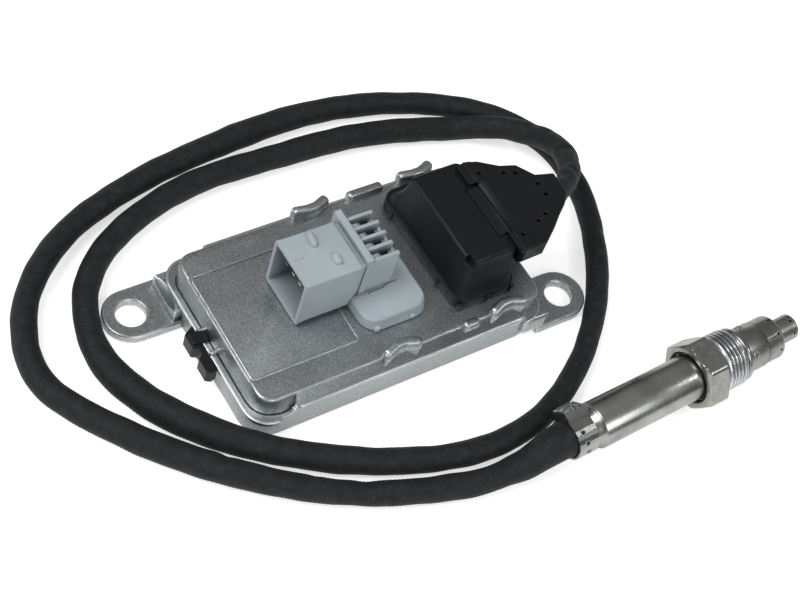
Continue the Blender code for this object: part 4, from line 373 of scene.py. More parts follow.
def tube_mesh(name, points, lengthwise, close_ends=True):
    """Mesh from rings of points. points is rows x columns x 3, and lengthwise the U of each row.
    V is the share of a turn, and the faces that close the ring get 1 where it starts again at 0."""
    rows, columns, _ = points.shape
    faces = grid_faces(rows, columns).tolist()
    if close_ends:
        faces.append(list(range(columns))[::-1])
        faces.append(list(range((rows - 1) * columns, rows * columns)))
    mesh = bpy.data.meshes.new(name)
    mesh.from_pydata(points.reshape(-1, 3).tolist(), [], faces)
    u_of = np.repeat(lengthwise, columns)
    v_of = np.tile(np.arange(columns) / columns, rows)
    corner = corner_vertices(mesh)
    around = v_of[corner]
    quads = 4 * (rows - 1) * columns
    seam = around[:quads].reshape(-1, 4)
    seam[(seam.max(axis=1) - seam.min(axis=1) > 0.5)[:, None] & (seam < 0.5)] += 1.0
    around[:quads] = seam.reshape(-1)
    layer = mesh.uv_layers.new(name="UVMap")
    layer.data.foreach_set("uv", np.stack([u_of[corner], around], axis=1).astype(np.float32).ravel())
    mesh.validate()
    return mesh


def add_piece(name, mesh, slot, body, replaced=(), sharp_deg=40):
    """Put a finished mesh in the scene, with its finish, its body and the nodes it stands for."""
    piece = bpy.data.objects.new(name, mesh)
    bpy.context.scene.collection.objects.link(piece)
    mesh.shade_smooth()
    mesh.set_sharp_from_angle(angle=math.radians(sharp_deg))
    dress(piece, slot)
    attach(piece, body)
    if replaced:
        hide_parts(*replaced)
    return piece


# %% [markdown]
# The cable is a bundle of leads in a woven sleeve. It leaves the plug, comes down just inside its
# own outer loop, lies on the table for almost two turns and rises into the probe's clamp. Its
# centre line is a smooth curve through the same points as the CAD cable: between two points it is
# a cubic whose slopes come from the neighbours.

# %% Cable route
CABLE_DIAMETER = 0.0074
CABLE_SLEEVE_END = 0.0125
CABLE_FLARE = 0.0240
CLAMP_BAND_WIDTH = 0.0077
PIECE_GAP = 0.0003
STRAIGHT_BEFORE_CLAMP = 0.0045
POINTS_PER_SPAN = 24
CABLE_ROUTE = (
    (0.0710, -0.0035, 0.0326), (0.0800, 0.0015, 0.0295), (0.0880, 0.0090, 0.0245),
    (0.0930, 0.0180, 0.0195), (0.0945, 0.0270, 0.0150), (0.0920, 0.0360, 0.0105),
    (0.0855, 0.0440, 0.0070), (0.0700, 0.0520, 0.0038), (0.0388, 0.0606, 0.0037),
    (0.0062, 0.0629, 0.0037), (-0.0297, 0.0624, 0.0037), (-0.0605, 0.0522, 0.0037),
    (-0.0780, 0.0366, 0.0037), (-0.0846, 0.0140, 0.0037), (-0.0795, -0.0060, 0.0037),
    (-0.0660, -0.0250, 0.0037), (-0.0460, -0.0420, 0.0037), (-0.0210, -0.0560, 0.0037),
    (0.0070, -0.0645, 0.0037), (0.0330, -0.0630, 0.0037), (0.0580, -0.0510, 0.0037),
    (0.0790, -0.0320, 0.0037), (0.0935, -0.0100, 0.0037), (0.1015, 0.0120, 0.0037),
    (0.1005, 0.0350, 0.0037), (0.0850, 0.0555, 0.0037), (0.0580, 0.0695, 0.0037),
    (0.0260, 0.0760, 0.0037), (-0.0090, 0.0750, 0.0037), (-0.0440, 0.0700, 0.0037),
    (-0.0760, 0.0585, 0.0037), (-0.0975, 0.0385, 0.0037), (-0.1045, 0.0125, 0.0037),
    (-0.0905, -0.0135, 0.0037), (-0.0660, -0.0400, 0.0037), (-0.0360, -0.0610, 0.0037),
    (-0.0020, -0.0736, 0.0038), (0.0170, -0.0759, 0.0056),
)

JOINT = frame["record"]["behaviour"]["joints"][0]
PROBE_AXIS = np.array(JOINT["axis"], dtype=float)
PROBE_AXIS /= np.linalg.norm(PROBE_AXIS)
PROBE_PIVOT = np.array(JOINT["pos_m"], dtype=float)


def node_points(node_name):
    """All vertices of a CAD node as an array."""
    return mesh_points(frame["nodes"][node_name].data)


def stations(node_name):
    """Lowest and highest place of a CAD node along the probe's axis, from the joint's pivot."""
    along = (node_points(node_name) - PROBE_PIVOT) @ PROBE_AXIS
    return along.min(), along.max()


def outer_radius(node_name):
    """Largest distance of a CAD node from the probe's axis."""
    away = node_points(node_name) - PROBE_PIVOT
    across = away - np.outer(away @ PROBE_AXIS, PROBE_AXIS)
    return np.linalg.norm(across, axis=1).max()


def smooth_line(knots, per_span):
    """Cubic between each pair of knots. Each knot's slope is the chord of its two neighbours
    divided by the length of the way between them."""
    knots = np.asarray(knots, dtype=float)
    before = np.vstack([knots[:1], knots[:-1]])
    after = np.vstack([knots[1:], knots[-1:]])
    way = np.linalg.norm(knots - before, axis=1) + np.linalg.norm(after - knots, axis=1)
    slopes = (after - before) / way[:, None]
    start, end = knots[:-1], knots[1:]
    span = np.linalg.norm(end - start, axis=1)[:, None]
    t = np.linspace(0, 1, per_span, endpoint=False)[None, :, None]
    a, b = start[:, None], end[:, None]
    da, db = (slopes[:-1] * span)[:, None], (slopes[1:] * span)[:, None]
    curve = ((2 * t**3 - 3 * t**2 + 1) * a + (t**3 - 2 * t**2 + t) * da
             + (3 * t**2 - 2 * t**3) * b + (t**3 - t**2) * db)
    return np.vstack([curve.reshape(-1, 3), knots[-1:]])


def evenly(line, step):
    """Points of a line at even steps along it, with their distances from its start."""
    gone = np.concatenate([[0], np.cumsum(np.linalg.norm(np.diff(line, axis=0), axis=1))])
    places = np.linspace(0, gone[-1], int(round(gone[-1] / step)) + 1)
    return np.stack([np.interp(places, gone, line[:, k]) for k in range(3)], axis=1), places


def cable_line(step):
    """The cable's centre line from the plug to inside the clamp."""
    knots = np.array(CABLE_ROUTE)
    leave = knots[1] - knots[0]
    knots[0] += leave / np.linalg.norm(leave) * PIECE_GAP
    tube_rear, _ = stations("probe_tube")
    rear = PROBE_PIVOT + PROBE_AXIS * (tube_rear - PIECE_GAP - CLAMP_BAND_WIDTH)
    knots = np.vstack([knots, rear - PROBE_AXIS * STRAIGHT_BEFORE_CLAMP,
                       rear + PROBE_AXIS * (CLAMP_BAND_WIDTH - PIECE_GAP)])
    line = smooth_line(knots, POINTS_PER_SPAN)
    line[:, 2] = np.maximum(line[:, 2], CABLE_DIAMETER / 2)
    return evenly(line, step)


print("cable length", round(cable_line(0.002)[1][-1], 4))

# %% [markdown]
# The sleeve is woven with a heavy cross thread, which shows as fine ribs round the cable. The
# surface is one function of the way along and the angle round: a radius that ripples with each
# cross thread, swells a little, bunches up thicker in some places, folds where the bend is tight,
# and flares over the wider end that the clamp holds.

# %% Cable sleeve
RIB_PITCH = 0.00118
RIB_DEPTH = 0.00012
RIB_SLANT = 0.0005
RIB_WANDER = 0.0003
RINGS_PER_RIB = 5
CABLE_SIDES = 22
FOLD_SLANT = 0.0014
TABLE_CLEARANCE = 0.00005
CORD_PATH_STEP = 0.004
FOLDS = (
    # way along, angle round, depth, half length, half angle
    (0.008, 2.2, 0.0007, 0.0025, 0.9), (0.013, 1.2, 0.0006, 0.0016, 0.9),
    (0.019, 2.8, 0.0008, 0.0022, 0.9), (0.024, 0.6, 0.0006, 0.0018, 0.8),
    (0.030, 2.0, 0.0007, 0.0020, 0.8), (0.036, 3.4, 0.0008, 0.0026, 0.8),
    (0.044, 1.6, 0.0005, 0.0018, 0.7), (0.052, 1.4, 0.0007, 0.0030, 0.9),
    (0.060, 2.9, 0.0005, 0.0020, 0.7), (0.068, 2.6, 0.0006, 0.0026, 0.7),
    (0.082, 1.9, 0.0004, 0.0022, 0.8), (0.300, 1.2, 0.0004, 0.0030, 0.7),
    (0.470, 2.0, 0.0004, 0.0030, 0.8), (0.505, 1.1, 0.0004, 0.0024, 0.8),
    (0.820, 1.2, 0.0005, 0.0030, 0.9), (0.862, 2.2, 0.0006, 0.0022, 0.8),
    (0.875, 1.0, 0.0005, 0.0020, 0.8), (0.889, 1.7, 0.0006, 0.0018, 0.9),
    (0.905, 2.0, 0.0007, 0.0026, 0.8), (0.914, 1.0, 0.0006, 0.0016, 0.9),
)


SLEEVE_WIDTHS = (
    # way along, width: thickest in the inner front bend
    (0.000, 0.0074), (0.012, 0.0075), (0.030, 0.0082), (0.090, 0.0086), (0.140, 0.0087), (0.230, 0.0083),
    (0.256, 0.0084), (0.275, 0.0098), (0.290, 0.0103), (0.306, 0.0101), (0.324, 0.0091), (0.345, 0.0090),
    (0.365, 0.0086), (0.400, 0.0082), (0.430, 0.0079), (0.455, 0.0075), (0.490, 0.0080), (0.560, 0.0082),
    (0.600, 0.0081), (0.640, 0.0087), (0.668, 0.0092), (0.690, 0.0086), (0.760, 0.0083), (0.800, 0.0084),
    (0.835, 0.0088), (0.858, 0.0092), (0.880, 0.0085), (0.905, 0.0079), (0.935, 0.0084), (1.000, 0.0084),
)


def sleeve_rings(line, places):
    """Radius = half the sleeve's width, plus a flare that grows over the last stretch, plus ribs that
    are a rounded wave of the way along, plus slow waves for swells and lumps, minus bell-shaped
    folds. Rings stand square to the line, which rises where the sleeve is thicker."""
    along = np.gradient(line, axis=0)
    along /= np.linalg.norm(along, axis=1)[:, None]
    side = np.cross(along, (0, 0, 1))
    side /= np.linalg.norm(side, axis=1)[:, None]
    up = np.cross(side, along)
    angle = np.arange(CABLE_SIDES) / CABLE_SIDES * math.tau
    behind = places[-1] - places - CLAMP_BAND_WIDTH + PIECE_GAP
    flare = np.clip(1 - behind / CABLE_FLARE, 0, 1)
    knots = np.array(SLEEVE_WIDTHS)
    thick = np.interp(places, knots[:, 0], knots[:, 1]) / 2
    half = thick + flare * (CABLE_SLEEVE_END / 2 - thick)
    line = line + np.outer((thick - CABLE_DIAMETER / 2) * (1 - flare), (0, 0, 1))
    way, turn = places[:, None], angle[None, :]
    slant = way + RIB_SLANT * np.sin(turn + way * 9) + RIB_WANDER * np.sin(way * 230)
    strength = 0.75 + 0.25 * np.sin(way * 47 + turn)
    ribs = RIB_DEPTH * strength * (np.abs(np.sin(math.pi * slant / RIB_PITCH)) - 1)
    swell = 0.00006 * np.sin(way * 211) * np.sin(way * 67 + 1)
    lumps = (0.00006 * np.sin(way * 390 + 2 * np.sin(turn + way * 33))
             + 0.00007 * np.sin(2 * turn + way * 150) * np.sin(way * 95 + 0.6)
             + 0.00004 * np.sin(3 * turn - way * 620))
    radius = half[:, None] + ribs + swell + lumps
    for place, side_angle, depth, half_length, half_angle in FOLDS:
        off = (angle[None, :] - side_angle + math.pi) % math.tau - math.pi
        crease = way - place - FOLD_SLANT * off
        radius -= depth * np.exp(-(crease / half_length) ** 2 - (off / half_angle) ** 2)
    ring = side[:, None] * np.cos(angle)[None, :, None] + up[:, None] * np.sin(angle)[None, :, None]
    points = line[:, None] + ring * radius[:, :, None]
    points[:, :, 2] = np.maximum(points[:, :, 2], TABLE_CLEARANCE)
    return points


def make_cable():
    """The sleeved cable as one mesh."""
    line, places = cable_line(RIB_PITCH / RINGS_PER_RIB)
    mesh = tube_mesh("sleeved_cable", sleeve_rings(line, places), places)
    cable = add_piece("sleeved_cable", mesh, "cable_sleeve", "body", ["cable"], 70)
    path, _ = cable_line(CORD_PATH_STEP)
    return cable


cable = make_cable()
print("cable rings", len(cable.data.vertices) // CABLE_SIDES)

# %% [markdown]
# The probe's pieces are turned. Their CAD shapes are right, so a copy of each is merged, shaded
# smooth and given a UV map along the axis and round it, for the fine turning marks. A new ring is
# a profile of stations and radii carried round the axis.

# %% Turning
PROBE_SIDE = np.cross(PROBE_AXIS, (0, 0, 1))
PROBE_SIDE /= np.linalg.norm(PROBE_SIDE)
PROBE_UP = np.cross(PROBE_SIDE, PROBE_AXIS)
RING_SIDES = 96


def on_probe(station, radius, angle):
    """Point at a station along the axis, a radius away from it at an angle from the side."""
    spread = np.cos(angle)[..., None] * PROBE_SIDE + np.sin(angle)[..., None] * PROBE_UP
    return PROBE_PIVOT + np.asarray(station)[..., None] * PROBE_AXIS + np.asarray(radius)[..., None] * spread


def turned_ring(name, profile, slot):
    """A ring on the body: a closed profile of (station, radius) rows, carried round the axis."""
    profile = np.asarray(profile, dtype=float)
    profile = np.vstack([profile, profile[:1]])
    angle = np.arange(RING_SIDES) / RING_SIDES * math.tau
    station = profile[:, 0][:, None] + 0 * angle[None, :]
    radius = profile[:, 1][:, None] + 0 * angle[None, :]
    rings = on_probe(station, radius, np.broadcast_to(angle, station.shape))
    way = np.concatenate([[0], np.cumsum(np.linalg.norm(np.diff(profile, axis=0), axis=1))])
    mesh = tube_mesh(name, rings, way, False)
    weld(mesh)
    return add_piece(name, mesh, slot, "body")


def turned_copy(node_name):
    """A copy of a turned CAD node, merged and smooth, with U the station along the axis and V the
    angle round it as a share of a full turn."""
    mesh = frame["nodes"][node_name].data.copy()
    mesh.name = node_name + "_turned"
    weld(mesh, SAME_CAD_POINT, outward=False)
    away = mesh_points(mesh) - PROBE_PIVOT
    turn = np.arctan2(away @ PROBE_UP, away @ PROBE_SIDE) / math.tau
    corner = corner_vertices(mesh)
    around = turn[corner].reshape(-1, 3)
    around[(around.max(axis=1) - around.min(axis=1) > 0.5)[:, None] & (around < 0)] += 1.0
    layer = mesh.uv_layers.new(name="UVMap") if not mesh.uv_layers else mesh.uv_layers[0]
    layer.name = "UVMap"
    uv = np.stack([(away @ PROBE_AXIS)[corner], around.ravel()], axis=1)
    layer.data.foreach_set("uv", uv.astype(np.float32).ravel())
    return add_piece(mesh.name, mesh, SLOT_OF[node_name], "body", [node_name], 32)


for node_name in ("probe_tube", "probe_body", "outer_shield", "inner_shield", "cable_clamp"):
    turned_copy(node_name)

# %% [markdown]
# The union nut is one surface from its rear face to its front rim. Its radius at each angle is
# the smaller of a hexagon and a cone, which gives the arched chamfers of a real nut, and in
# front of the shoulder it follows a helix: the thread.

# %% Union nut
NUT_FLATS = 0.0220
NUT_HEX = 0.0086
THREAD_PITCH = 0.0015
THREAD_RADIUS = 0.0099
THREAD_DEPTH = 0.00092
RELIEF_RADIUS = 0.0089
RELIEF_LENGTH = 0.0013
NUT_BORE = 0.0083
NUT_MOUTH = 0.0093
NUT_SIDES = 144
NUT_ROWS = 40
EDGE_CUT = 0.0003
CHAMFER_SLOPE = 1.9
THREAD_LEAD_SLOPE = 1.4
ROWS_PER_PITCH = 14


def hexagon_radius(angle):
    """Distance to a hexagon's flat: half the width across flats over the cosine of the angle
    from the middle of the nearest flat."""
    from_flat = (angle - math.pi / 2 + math.pi / 6) % (math.pi / 3) - math.pi / 6
    return NUT_FLATS / 2 / np.cos(from_flat)


def thread_radius(station, angle, start, end):
    """Trapezoid thread wave of the station less one pitch per turn, eased in and out at the ends."""
    phase = ((station - start) / THREAD_PITCH - angle / math.tau) % 1.0
    wave = np.clip(np.abs(phase - 0.5) * 2.6 - 0.35, 0, 1)
    rise, fall = (station - start) / THREAD_PITCH, (end - station) / THREAD_PITCH * 1.4
    fade = np.clip(rise, 0, 1) * np.clip(fall, 0, 1)
    return THREAD_RADIUS - THREAD_DEPTH * (wave * fade)


def make_union_nut():
    """Rear face, hexagon with rounded chamfers, shoulder, relief, thread and bore as one skin."""
    start, end = stations("union_nut")
    shoulder = start + NUT_HEX
    relief_end = shoulder + RELIEF_LENGTH
    angle = np.arange(NUT_SIDES) / NUT_SIDES * math.tau
    flats = np.minimum(hexagon_radius(angle), NUT_FLATS / 2 / math.cos(math.pi / 6) - EDGE_CUT)
    rows = []
    for station in np.linspace(start, shoulder, NUT_ROWS):
        edge = min(station - start, shoulder - station)
        rows.append((station, np.minimum(flats, NUT_FLATS / 2 - EDGE_CUT + CHAMFER_SLOPE * edge)))
    rows += [(shoulder, RELIEF_RADIUS + EDGE_CUT), (shoulder + EDGE_CUT, RELIEF_RADIUS),
             (relief_end, RELIEF_RADIUS)]
    for station in np.arange(relief_end + 0.0002, end - 0.0008, THREAD_PITCH / ROWS_PER_PITCH):
        ridge = thread_radius(station, angle, relief_end + 0.0002, end - 0.0006)
        rows.append((station, np.minimum(ridge, RELIEF_RADIUS + (station - relief_end) * THREAD_LEAD_SLOPE)))
    rows += [(end - 0.0007, THREAD_RADIUS - 0.0003), (end, THREAD_RADIUS - 0.0009),
             (end, NUT_BORE + EDGE_CUT), (end - EDGE_CUT, NUT_BORE), (start + 0.0030, NUT_BORE),
             (start + 0.0024, NUT_MOUTH - EDGE_CUT), (start + 0.0004, NUT_MOUTH - EDGE_CUT),
             (start, NUT_MOUTH), rows[0]]
    station = np.stack([np.full(NUT_SIDES, row[0]) for row in rows])
    radius = np.stack([np.broadcast_to(row[1], NUT_SIDES) for row in rows])
    points = on_probe(station, radius, np.broadcast_to(angle, station.shape))
    outside = radius.mean(axis=1) > RELIEF_RADIUS - 0.0001
    mesh = tube_mesh("threaded_nut", points, np.where(outside, station.mean(axis=1) - start, 0.0), False)
    weld(mesh)
    return add_piece("threaded_nut", mesh, "plated_steel", "nut", ["union_nut"], 30)


nut = make_union_nut()
print("nut faces", len(nut.data.polygons))

# %% [markdown]
# Castings and mouldings have no sharp edges. Their CAD shapes are right, so a copy of each is
# merged back into whole faces, and a narrow bevel rounds every edge that turns enough to catch
# the light. On the supply connector, the socket's square keys and the step round the riser are
# lowered flat, because later pieces stand for them.

# %% Rounded castings and mouldings


def soften(node_name, width):
    """A copy of a CAD node with its flat faces whole again and its edges rounded."""
    mesh = frame["nodes"][node_name].data.copy()
    mesh.name = node_name + "_rounded"
    weld(mesh, SAME_CAD_POINT, outward=False, whole_faces=True)
    piece = add_piece(mesh.name, mesh, SLOT_OF[node_name], "body", [node_name], 35)
    bevel = piece.modifiers.new("rounded edges", "BEVEL")
    bevel.width = width
    bevel.segments = 2
    bevel.limit_method = "ANGLE"
    bevel.angle_limit = math.radians(28)
    bevel.harden_normals = node_name != "plug_shell"  # its large top would shade in a wedge
    return piece


def lower_points(piece, chosen, height):
    """Bring the chosen points of a piece down to one height."""
    points = mesh_points(piece.data)
    points[chosen(points), 2] = height
    piece.data.vertices.foreach_set("co", points.ravel())
    weld(piece.data, SAME_CAD_POINT, outward=False, whole_faces=True)


def over_socket(at):
    """Points of the socket's square keys, which two rounded bars stand for."""
    return (at[:, 2] > 0.03925) & (at[:, 0] < -0.0100)


def over_flange(at):
    """Points of the step round the riser's foot, which a thin seam stands for."""
    beside = (np.abs(at[:, 1] - CONNECTOR_MIDDLE_Y) > 0.00899) | (at[:, 0] > 0.0042)
    return (at[:, 2] > 0.02301) & (at[:, 2] < 0.02701) & (at[:, 0] > -0.0062) & beside


SOCKET_TOP = 0.0392
FLANGE_TOP = 0.0230
CONNECTOR_MIDDLE_Y = 0.0011

EDGE_WIDTHS = {"housing_tray": 0.0003, "housing_cover": 0.0003, "supply_connector": 0.0002,
               "sensor_header": 0.0003, "plug_shell": 0.0003, "retaining_clip": 0.0002}
softened = {node_name: soften(node_name, width) for node_name, width in EDGE_WIDTHS.items()}
lower_points(softened["supply_connector"], over_socket, SOCKET_TOP)
lower_points(softened["supply_connector"], over_flange, FLANGE_TOP)
print("rounded", len(softened))

# %% [markdown]
# The casting's ridges and lips are thick rounded bars, whose tops catch the light as bright lines.
# Each is a bar: an oval section carried along a path that lies on the part, closed like a ring or
# rounded off at both ends. The same bars make small keys and beads on the plastic pieces.

# %% Rounded bars


def bar_points(path, half_across, half_up, square, end_length, sides, ring):
    """Oval rings along a path. The section is a superellipse: its two half widths times the cosine
    and sine of the angle, each raised to 2 / square with its sign kept. Towards an open end the
    section shrinks as a quarter circle does."""
    path = np.asarray(path, dtype=float)
    if ring:
        ahead, behind = np.roll(path, -1, axis=0), np.roll(path, 1, axis=0)
        along = ahead - behind
        shrink = np.ones(len(path))
    else:
        along = np.gradient(path, axis=0)
        gone = np.concatenate([[0], np.cumsum(np.linalg.norm(np.diff(path, axis=0), axis=1))])
        near = np.minimum(gone, gone[-1] - gone)
        left = np.clip(1 - near / end_length, 0, 1) if end_length > 0 else np.zeros(len(path))
        shrink = np.sqrt(np.maximum(1 - left ** 2, 0.01))
    along /= np.linalg.norm(along, axis=1)[:, None]
    side = np.cross(along, (0, 0, 1))
    side /= np.linalg.norm(side, axis=1)[:, None]
    angle = (np.arange(sides) + 0.5) / sides * math.tau
    power = 2 / square
    across = np.sign(np.cos(angle)) * np.abs(np.cos(angle)) ** power * half_across
    upward = np.sign(np.sin(angle)) * np.abs(np.sin(angle)) ** power * half_up
    section = side[:, None] * across[None, :, None] + np.array((0, 0, 1.0)) * upward[None, :, None]
    return path[:, None] + section * shrink[:, None, None]


def add_bar(name, path, half_across, half_up, slot="cast_aluminium", square=2.6, end_length=0.0,
            sides=16, ring=False):
    """A bar piece that rides on the body."""
    points = bar_points(path, half_across, half_up, square, end_length, sides, ring)
    if ring:
        points = np.concatenate([points, points[:1]])
    mesh = tube_mesh(name, points, np.linspace(0, 1, len(points)), not ring)
    weld(mesh)
    return add_piece(name, mesh, slot, "body", (), 50)


def rounded_path(x_low, x_high, y_low, y_high, radius, z, steps=8):
    """A rounded rectangle at one height, corner arcs joined by straight sides."""
    turn = np.linspace(0, math.pi / 2, steps)
    left, right, low, high = x_low + radius, x_high - radius, y_low + radius, y_high - radius
    corners = ((right, high, 0), (left, high, math.pi / 2), (left, low, math.pi), (right, low, -math.pi / 2))
    outline = np.vstack([np.stack([cx + radius * np.cos(turn + start), cy + radius * np.sin(turn + start)],
                                  axis=1) for cx, cy, start in corners])
    return np.column_stack([outline, np.full(len(outline), z)])


def line_path(knots, step=0.0004):
    """Points at even steps along straight spans between knots."""
    return evenly(np.asarray(knots, dtype=float), step)[0]


def add_stack(name, levels, slot):
    """A closed skin through rounded rectangles stacked in height. Each level is the low and high
    X, the low and high Y, the corner radius and the height."""
    rings = np.stack([rounded_path(*level) for level in levels])
    mesh = tube_mesh(name, rings, np.linspace(0, 1, len(levels)), True)
    weld(mesh)
    return add_piece(name, mesh, slot, "body", (), 40)


COVER_TOP = 0.0180
HOOK_PLACES = (-0.0032, 0.0378)
HOOK_LINE = (
    # along the box from the hook's middle, across it, height over the cover's top
    (-0.0069, 0.0302, 0.0006), (-0.0017, 0.0285, 0.0017),
    (0.0015, 0.0285, 0.0018), (0.0069, 0.0305, 0.0018),
)
LIP_HEIGHT = 0.00985
LIP_START_X = 0.0462
LIP_WIDE_Y = 0.0325

for side, side_name in ((-1, "front"), (1, "back")):
    for place in HOOK_PLACES:
        knots = [(place + x, side * y, COVER_TOP + z) for x, y, z in HOOK_LINE]
        add_bar(f"hook_{side_name}_{place:.3f}", line_path(knots), 0.0018, 0.0026, square=3.2,
                end_length=0.0016)
    edge = [(-0.0405, side * 0.0320, 0.01320), (0.0458, side * 0.0320, 0.01320)]
    add_bar(f"cover_edge_{side_name}", line_path(edge, 0.001), 0.0009, 0.0006, end_length=0.0010, sides=12)
add_bar("back_ridge", line_path([(0.0110, 0.0294, COVER_TOP), (0.0250, 0.0294, COVER_TOP)]), 0.0017, 0.0024,
        square=3.2, end_length=0.0014)
add_bar("front_lug", line_path([(0.0204, -0.0298, COVER_TOP), (0.0266, -0.0298, COVER_TOP)]), 0.0016, 0.0017,
        square=3.2, end_length=0.0014)
add_bar("label_rim", rounded_path(-0.0512, -0.0133, -0.0205, 0.0205, 0.0015, COVER_TOP - 0.00003), 0.00032,
        0.00018, ring=True, sides=12)
lip = rounded_path(-0.0552, 0.0552, -LIP_WIDE_Y, LIP_WIDE_Y, 0.0078, LIP_HEIGHT)
for side, side_name in ((-1, "left"), (1, "right")):
    ends = lip[lip[:, 0] * side > 0.0470]
    ends = ends[np.argsort(ends[:, 1])]
    start, stop = [(LIP_START_X * side, y, LIP_HEIGHT) for y in (-LIP_WIDE_Y, LIP_WIDE_Y)]
    path = evenly(np.vstack([start, ends, stop]), 0.0006)[0]
    add_bar(f"tray_lip_{side_name}", path, 0.0006, 0.0005, end_length=0.0008, sides=12)
clasp = [(-0.0560, 0.0056, 0.0106), (-0.0530, 0.0056, 0.0108), (-0.0524, 0.0050, 0.0108),
         (-0.0524, -0.0024, 0.0108), (-0.0530, -0.0031, 0.0108), (-0.0560, -0.0031, 0.0106)]
add_bar("clip_rim", line_path(clasp), 0.0007, 0.0010, square=3.2, end_length=0.0006, sides=12)
LIP_LEVELS = ((0, 0.0034), (0, 0.0092), (0.0002, 0.0098), (0.0005, 0.0101), (0.0009, 0.0102))
lip_block = [(0.0462, 0.0557 - inset, -0.0331 + inset, -0.0235, 0.0010, height)
             for inset, height in LIP_LEVELS]
add_stack("lip_corner_right", lip_block, "cast_aluminium")

# %% [markdown]
# The supply connector is a clean moulding. Its two keys are short rounded ridges. A thin dark
# seam runs where the riser's side plate meets the flange, and a dome fills half of each pocket.

# %% Connector details
POCKET_FLOOR = 0.0365
POCKET_PITCH = 0.0042
SEAM_LINE = ((-0.0046, -0.0094), (-0.0036, -0.0088), (0.0016, -0.0088), (0.0022, -0.0080),
             (0.0074, -0.0080))
CONNECTOR_BARS = [
    # name, knots, step between points, half across, half up, squareness, rounded end, sides
    ("socket_key_back", [(-0.0192, 0.0094, SOCKET_TOP), (-0.0200, 0.0036, SOCKET_TOP)],
     0.0004, 0.00125, 0.0018, 2.4, 0.0016, 16),
    ("socket_key_front", [(-0.0158, -0.0008, SOCKET_TOP), (-0.0162, -0.0050, SOCKET_TOP)],
     0.0004, 0.0013, 0.0016, 3.4, 0.0009, 16),
    ("socket_mark", [(-0.0284, 0.0016, SOCKET_TOP), (-0.0246, 0.0016, SOCKET_TOP)],
     0.0004, 0.00025, 0.00012, 2.0, 0.0004, 8),
    ("riser_pad", [(-0.0022, -0.0079, 0.0319), (0.0010, -0.0079, 0.0326)],
     0.0002, 0.00016, 0.0006, 3.0, 0.0004, 12),
]
for number in range(4):
    y = CONNECTOR_MIDDLE_Y + (number - 1.5) * POCKET_PITCH
    dome = [(-0.0052, y, POCKET_FLOOR), (-0.0014, y, POCKET_FLOOR)]
    CONNECTOR_BARS.append((f"pocket_dome_{number + 1}", dome, 0.0002, 0.0011, 0.0009, 3.0, 0.0008, 14))
for number, x in enumerate((-0.0066, 0.0064)):
    tab = [(x - 0.0010, -0.0199, 0.0193), (x + 0.0010, -0.0199, 0.0193)]
    CONNECTOR_BARS.append((f"flange_tab_{number + 1}", tab, 0.0002, 0.0008, 0.0010, 3.4, 0.0003, 12))
for name, knots, step, half_across, half_up, square, end_length, sides in CONNECTOR_BARS:
    add_bar(name, line_path(knots, step), half_across, half_up, "grey_plastic", square, end_length, sides)
seam = [(x, y, FLANGE_TOP + 0.00002) for x, y in SEAM_LINE]
add_bar("riser_seam", line_path(seam, 0.0003), 0.00013, 0.00006, "rubber", 2.0, 0.0002, 8)
print("connector details", len(CONNECTOR_BARS) + 1)

# %% [markdown]
# The sensor header stands on a thin flange. A lip runs round it, then a fine groove, and above
# that the wall rises steeply into the block. A skin of stacked rounded rectangles gives this
# curve. Each level lies a share of the way from the flange's outline to the block's.

# %% Header skirt
FLANGE_BOX = np.array((0.0210, 0.0452, -0.0238, 0.0252, 0.0053))
BLOCK_BOX = np.array((0.0242, 0.0428, -0.0200, 0.0176, 0.0016))
SKIRT_LEVELS = (
    # height, share of the way from the flange to the block
    (0.0182, 0.0), (0.0214, 0.0), (0.0219, 0.03), (0.0220, 0.09), (0.0220, 0.17), (0.0219, 0.20),
    (0.0222, 0.26), (0.0228, 0.36), (0.0245, 0.50), (0.0270, 0.66), (0.0300, 0.82), (0.0335, 0.96),
    (0.0350, 1.03),
)
TAB_HALF_LENGTH = 0.0008
TAB_HEIGHT = 0.0198
FRONT_TABS = ((0.0226, -0.0232), (0.0330, -0.0238), (0.0430, -0.0234))
LEFT_TABS = ((0.0210, -0.0120), (0.0210, 0.0170))

levels = [(*(FLANGE_BOX + (BLOCK_BOX - FLANGE_BOX) * share), height) for height, share in SKIRT_LEVELS]
add_stack("header_skirt", levels, "black_plastic")
for number, (x, y) in enumerate(FRONT_TABS + LEFT_TABS):
    dx, dy = (TAB_HALF_LENGTH, 0) if (x, y) in FRONT_TABS else (0, TAB_HALF_LENGTH)
    tab = [(x - dx, y - dy, TAB_HEIGHT), (x + dx, y + dy, TAB_HEIGHT)]
    add_bar(f"skirt_tab_{number + 1}", line_path(tab, 0.0002), 0.0006, 0.0014, "black_plastic", 3.4,
            0.0002, 12)


# %% [markdown]
# Small things on the probe: three punched dimples and an embossed loop on the clamp, a slightly
# thicker rear half on the outer shield, and the round weld marks that hold it. Most lie on a
# cylinder, so they are worked out from a station along the axis and an angle round it. The loop
# lies on the buckle's flat top.

# %% Probe details


def add_ring_mark(name, station, angle_deg, lift, radius, bead, slot):
    """A raised round bead on a cylinder: a torus whose big circle is wrapped on the surface."""
    big = np.linspace(0, math.tau, 28, endpoint=False)
    small = np.linspace(0, math.tau, 8, endpoint=False)
    reach = radius + bead * np.cos(small)[None, :]
    along, around = reach * np.cos(big)[:, None], reach * np.sin(big)[:, None]
    angle = math.radians(angle_deg) + around / lift
    height = lift + bead * 0.6 * np.sin(small)[None, :] + 0 * along
    points = on_probe(station + along, height, angle)
    points = np.concatenate([points, points[:1]])
    mesh = tube_mesh(name, points, np.linspace(0, 1, 29), False)
    weld(mesh)
    return add_piece(name, mesh, slot, "body", (), 60)


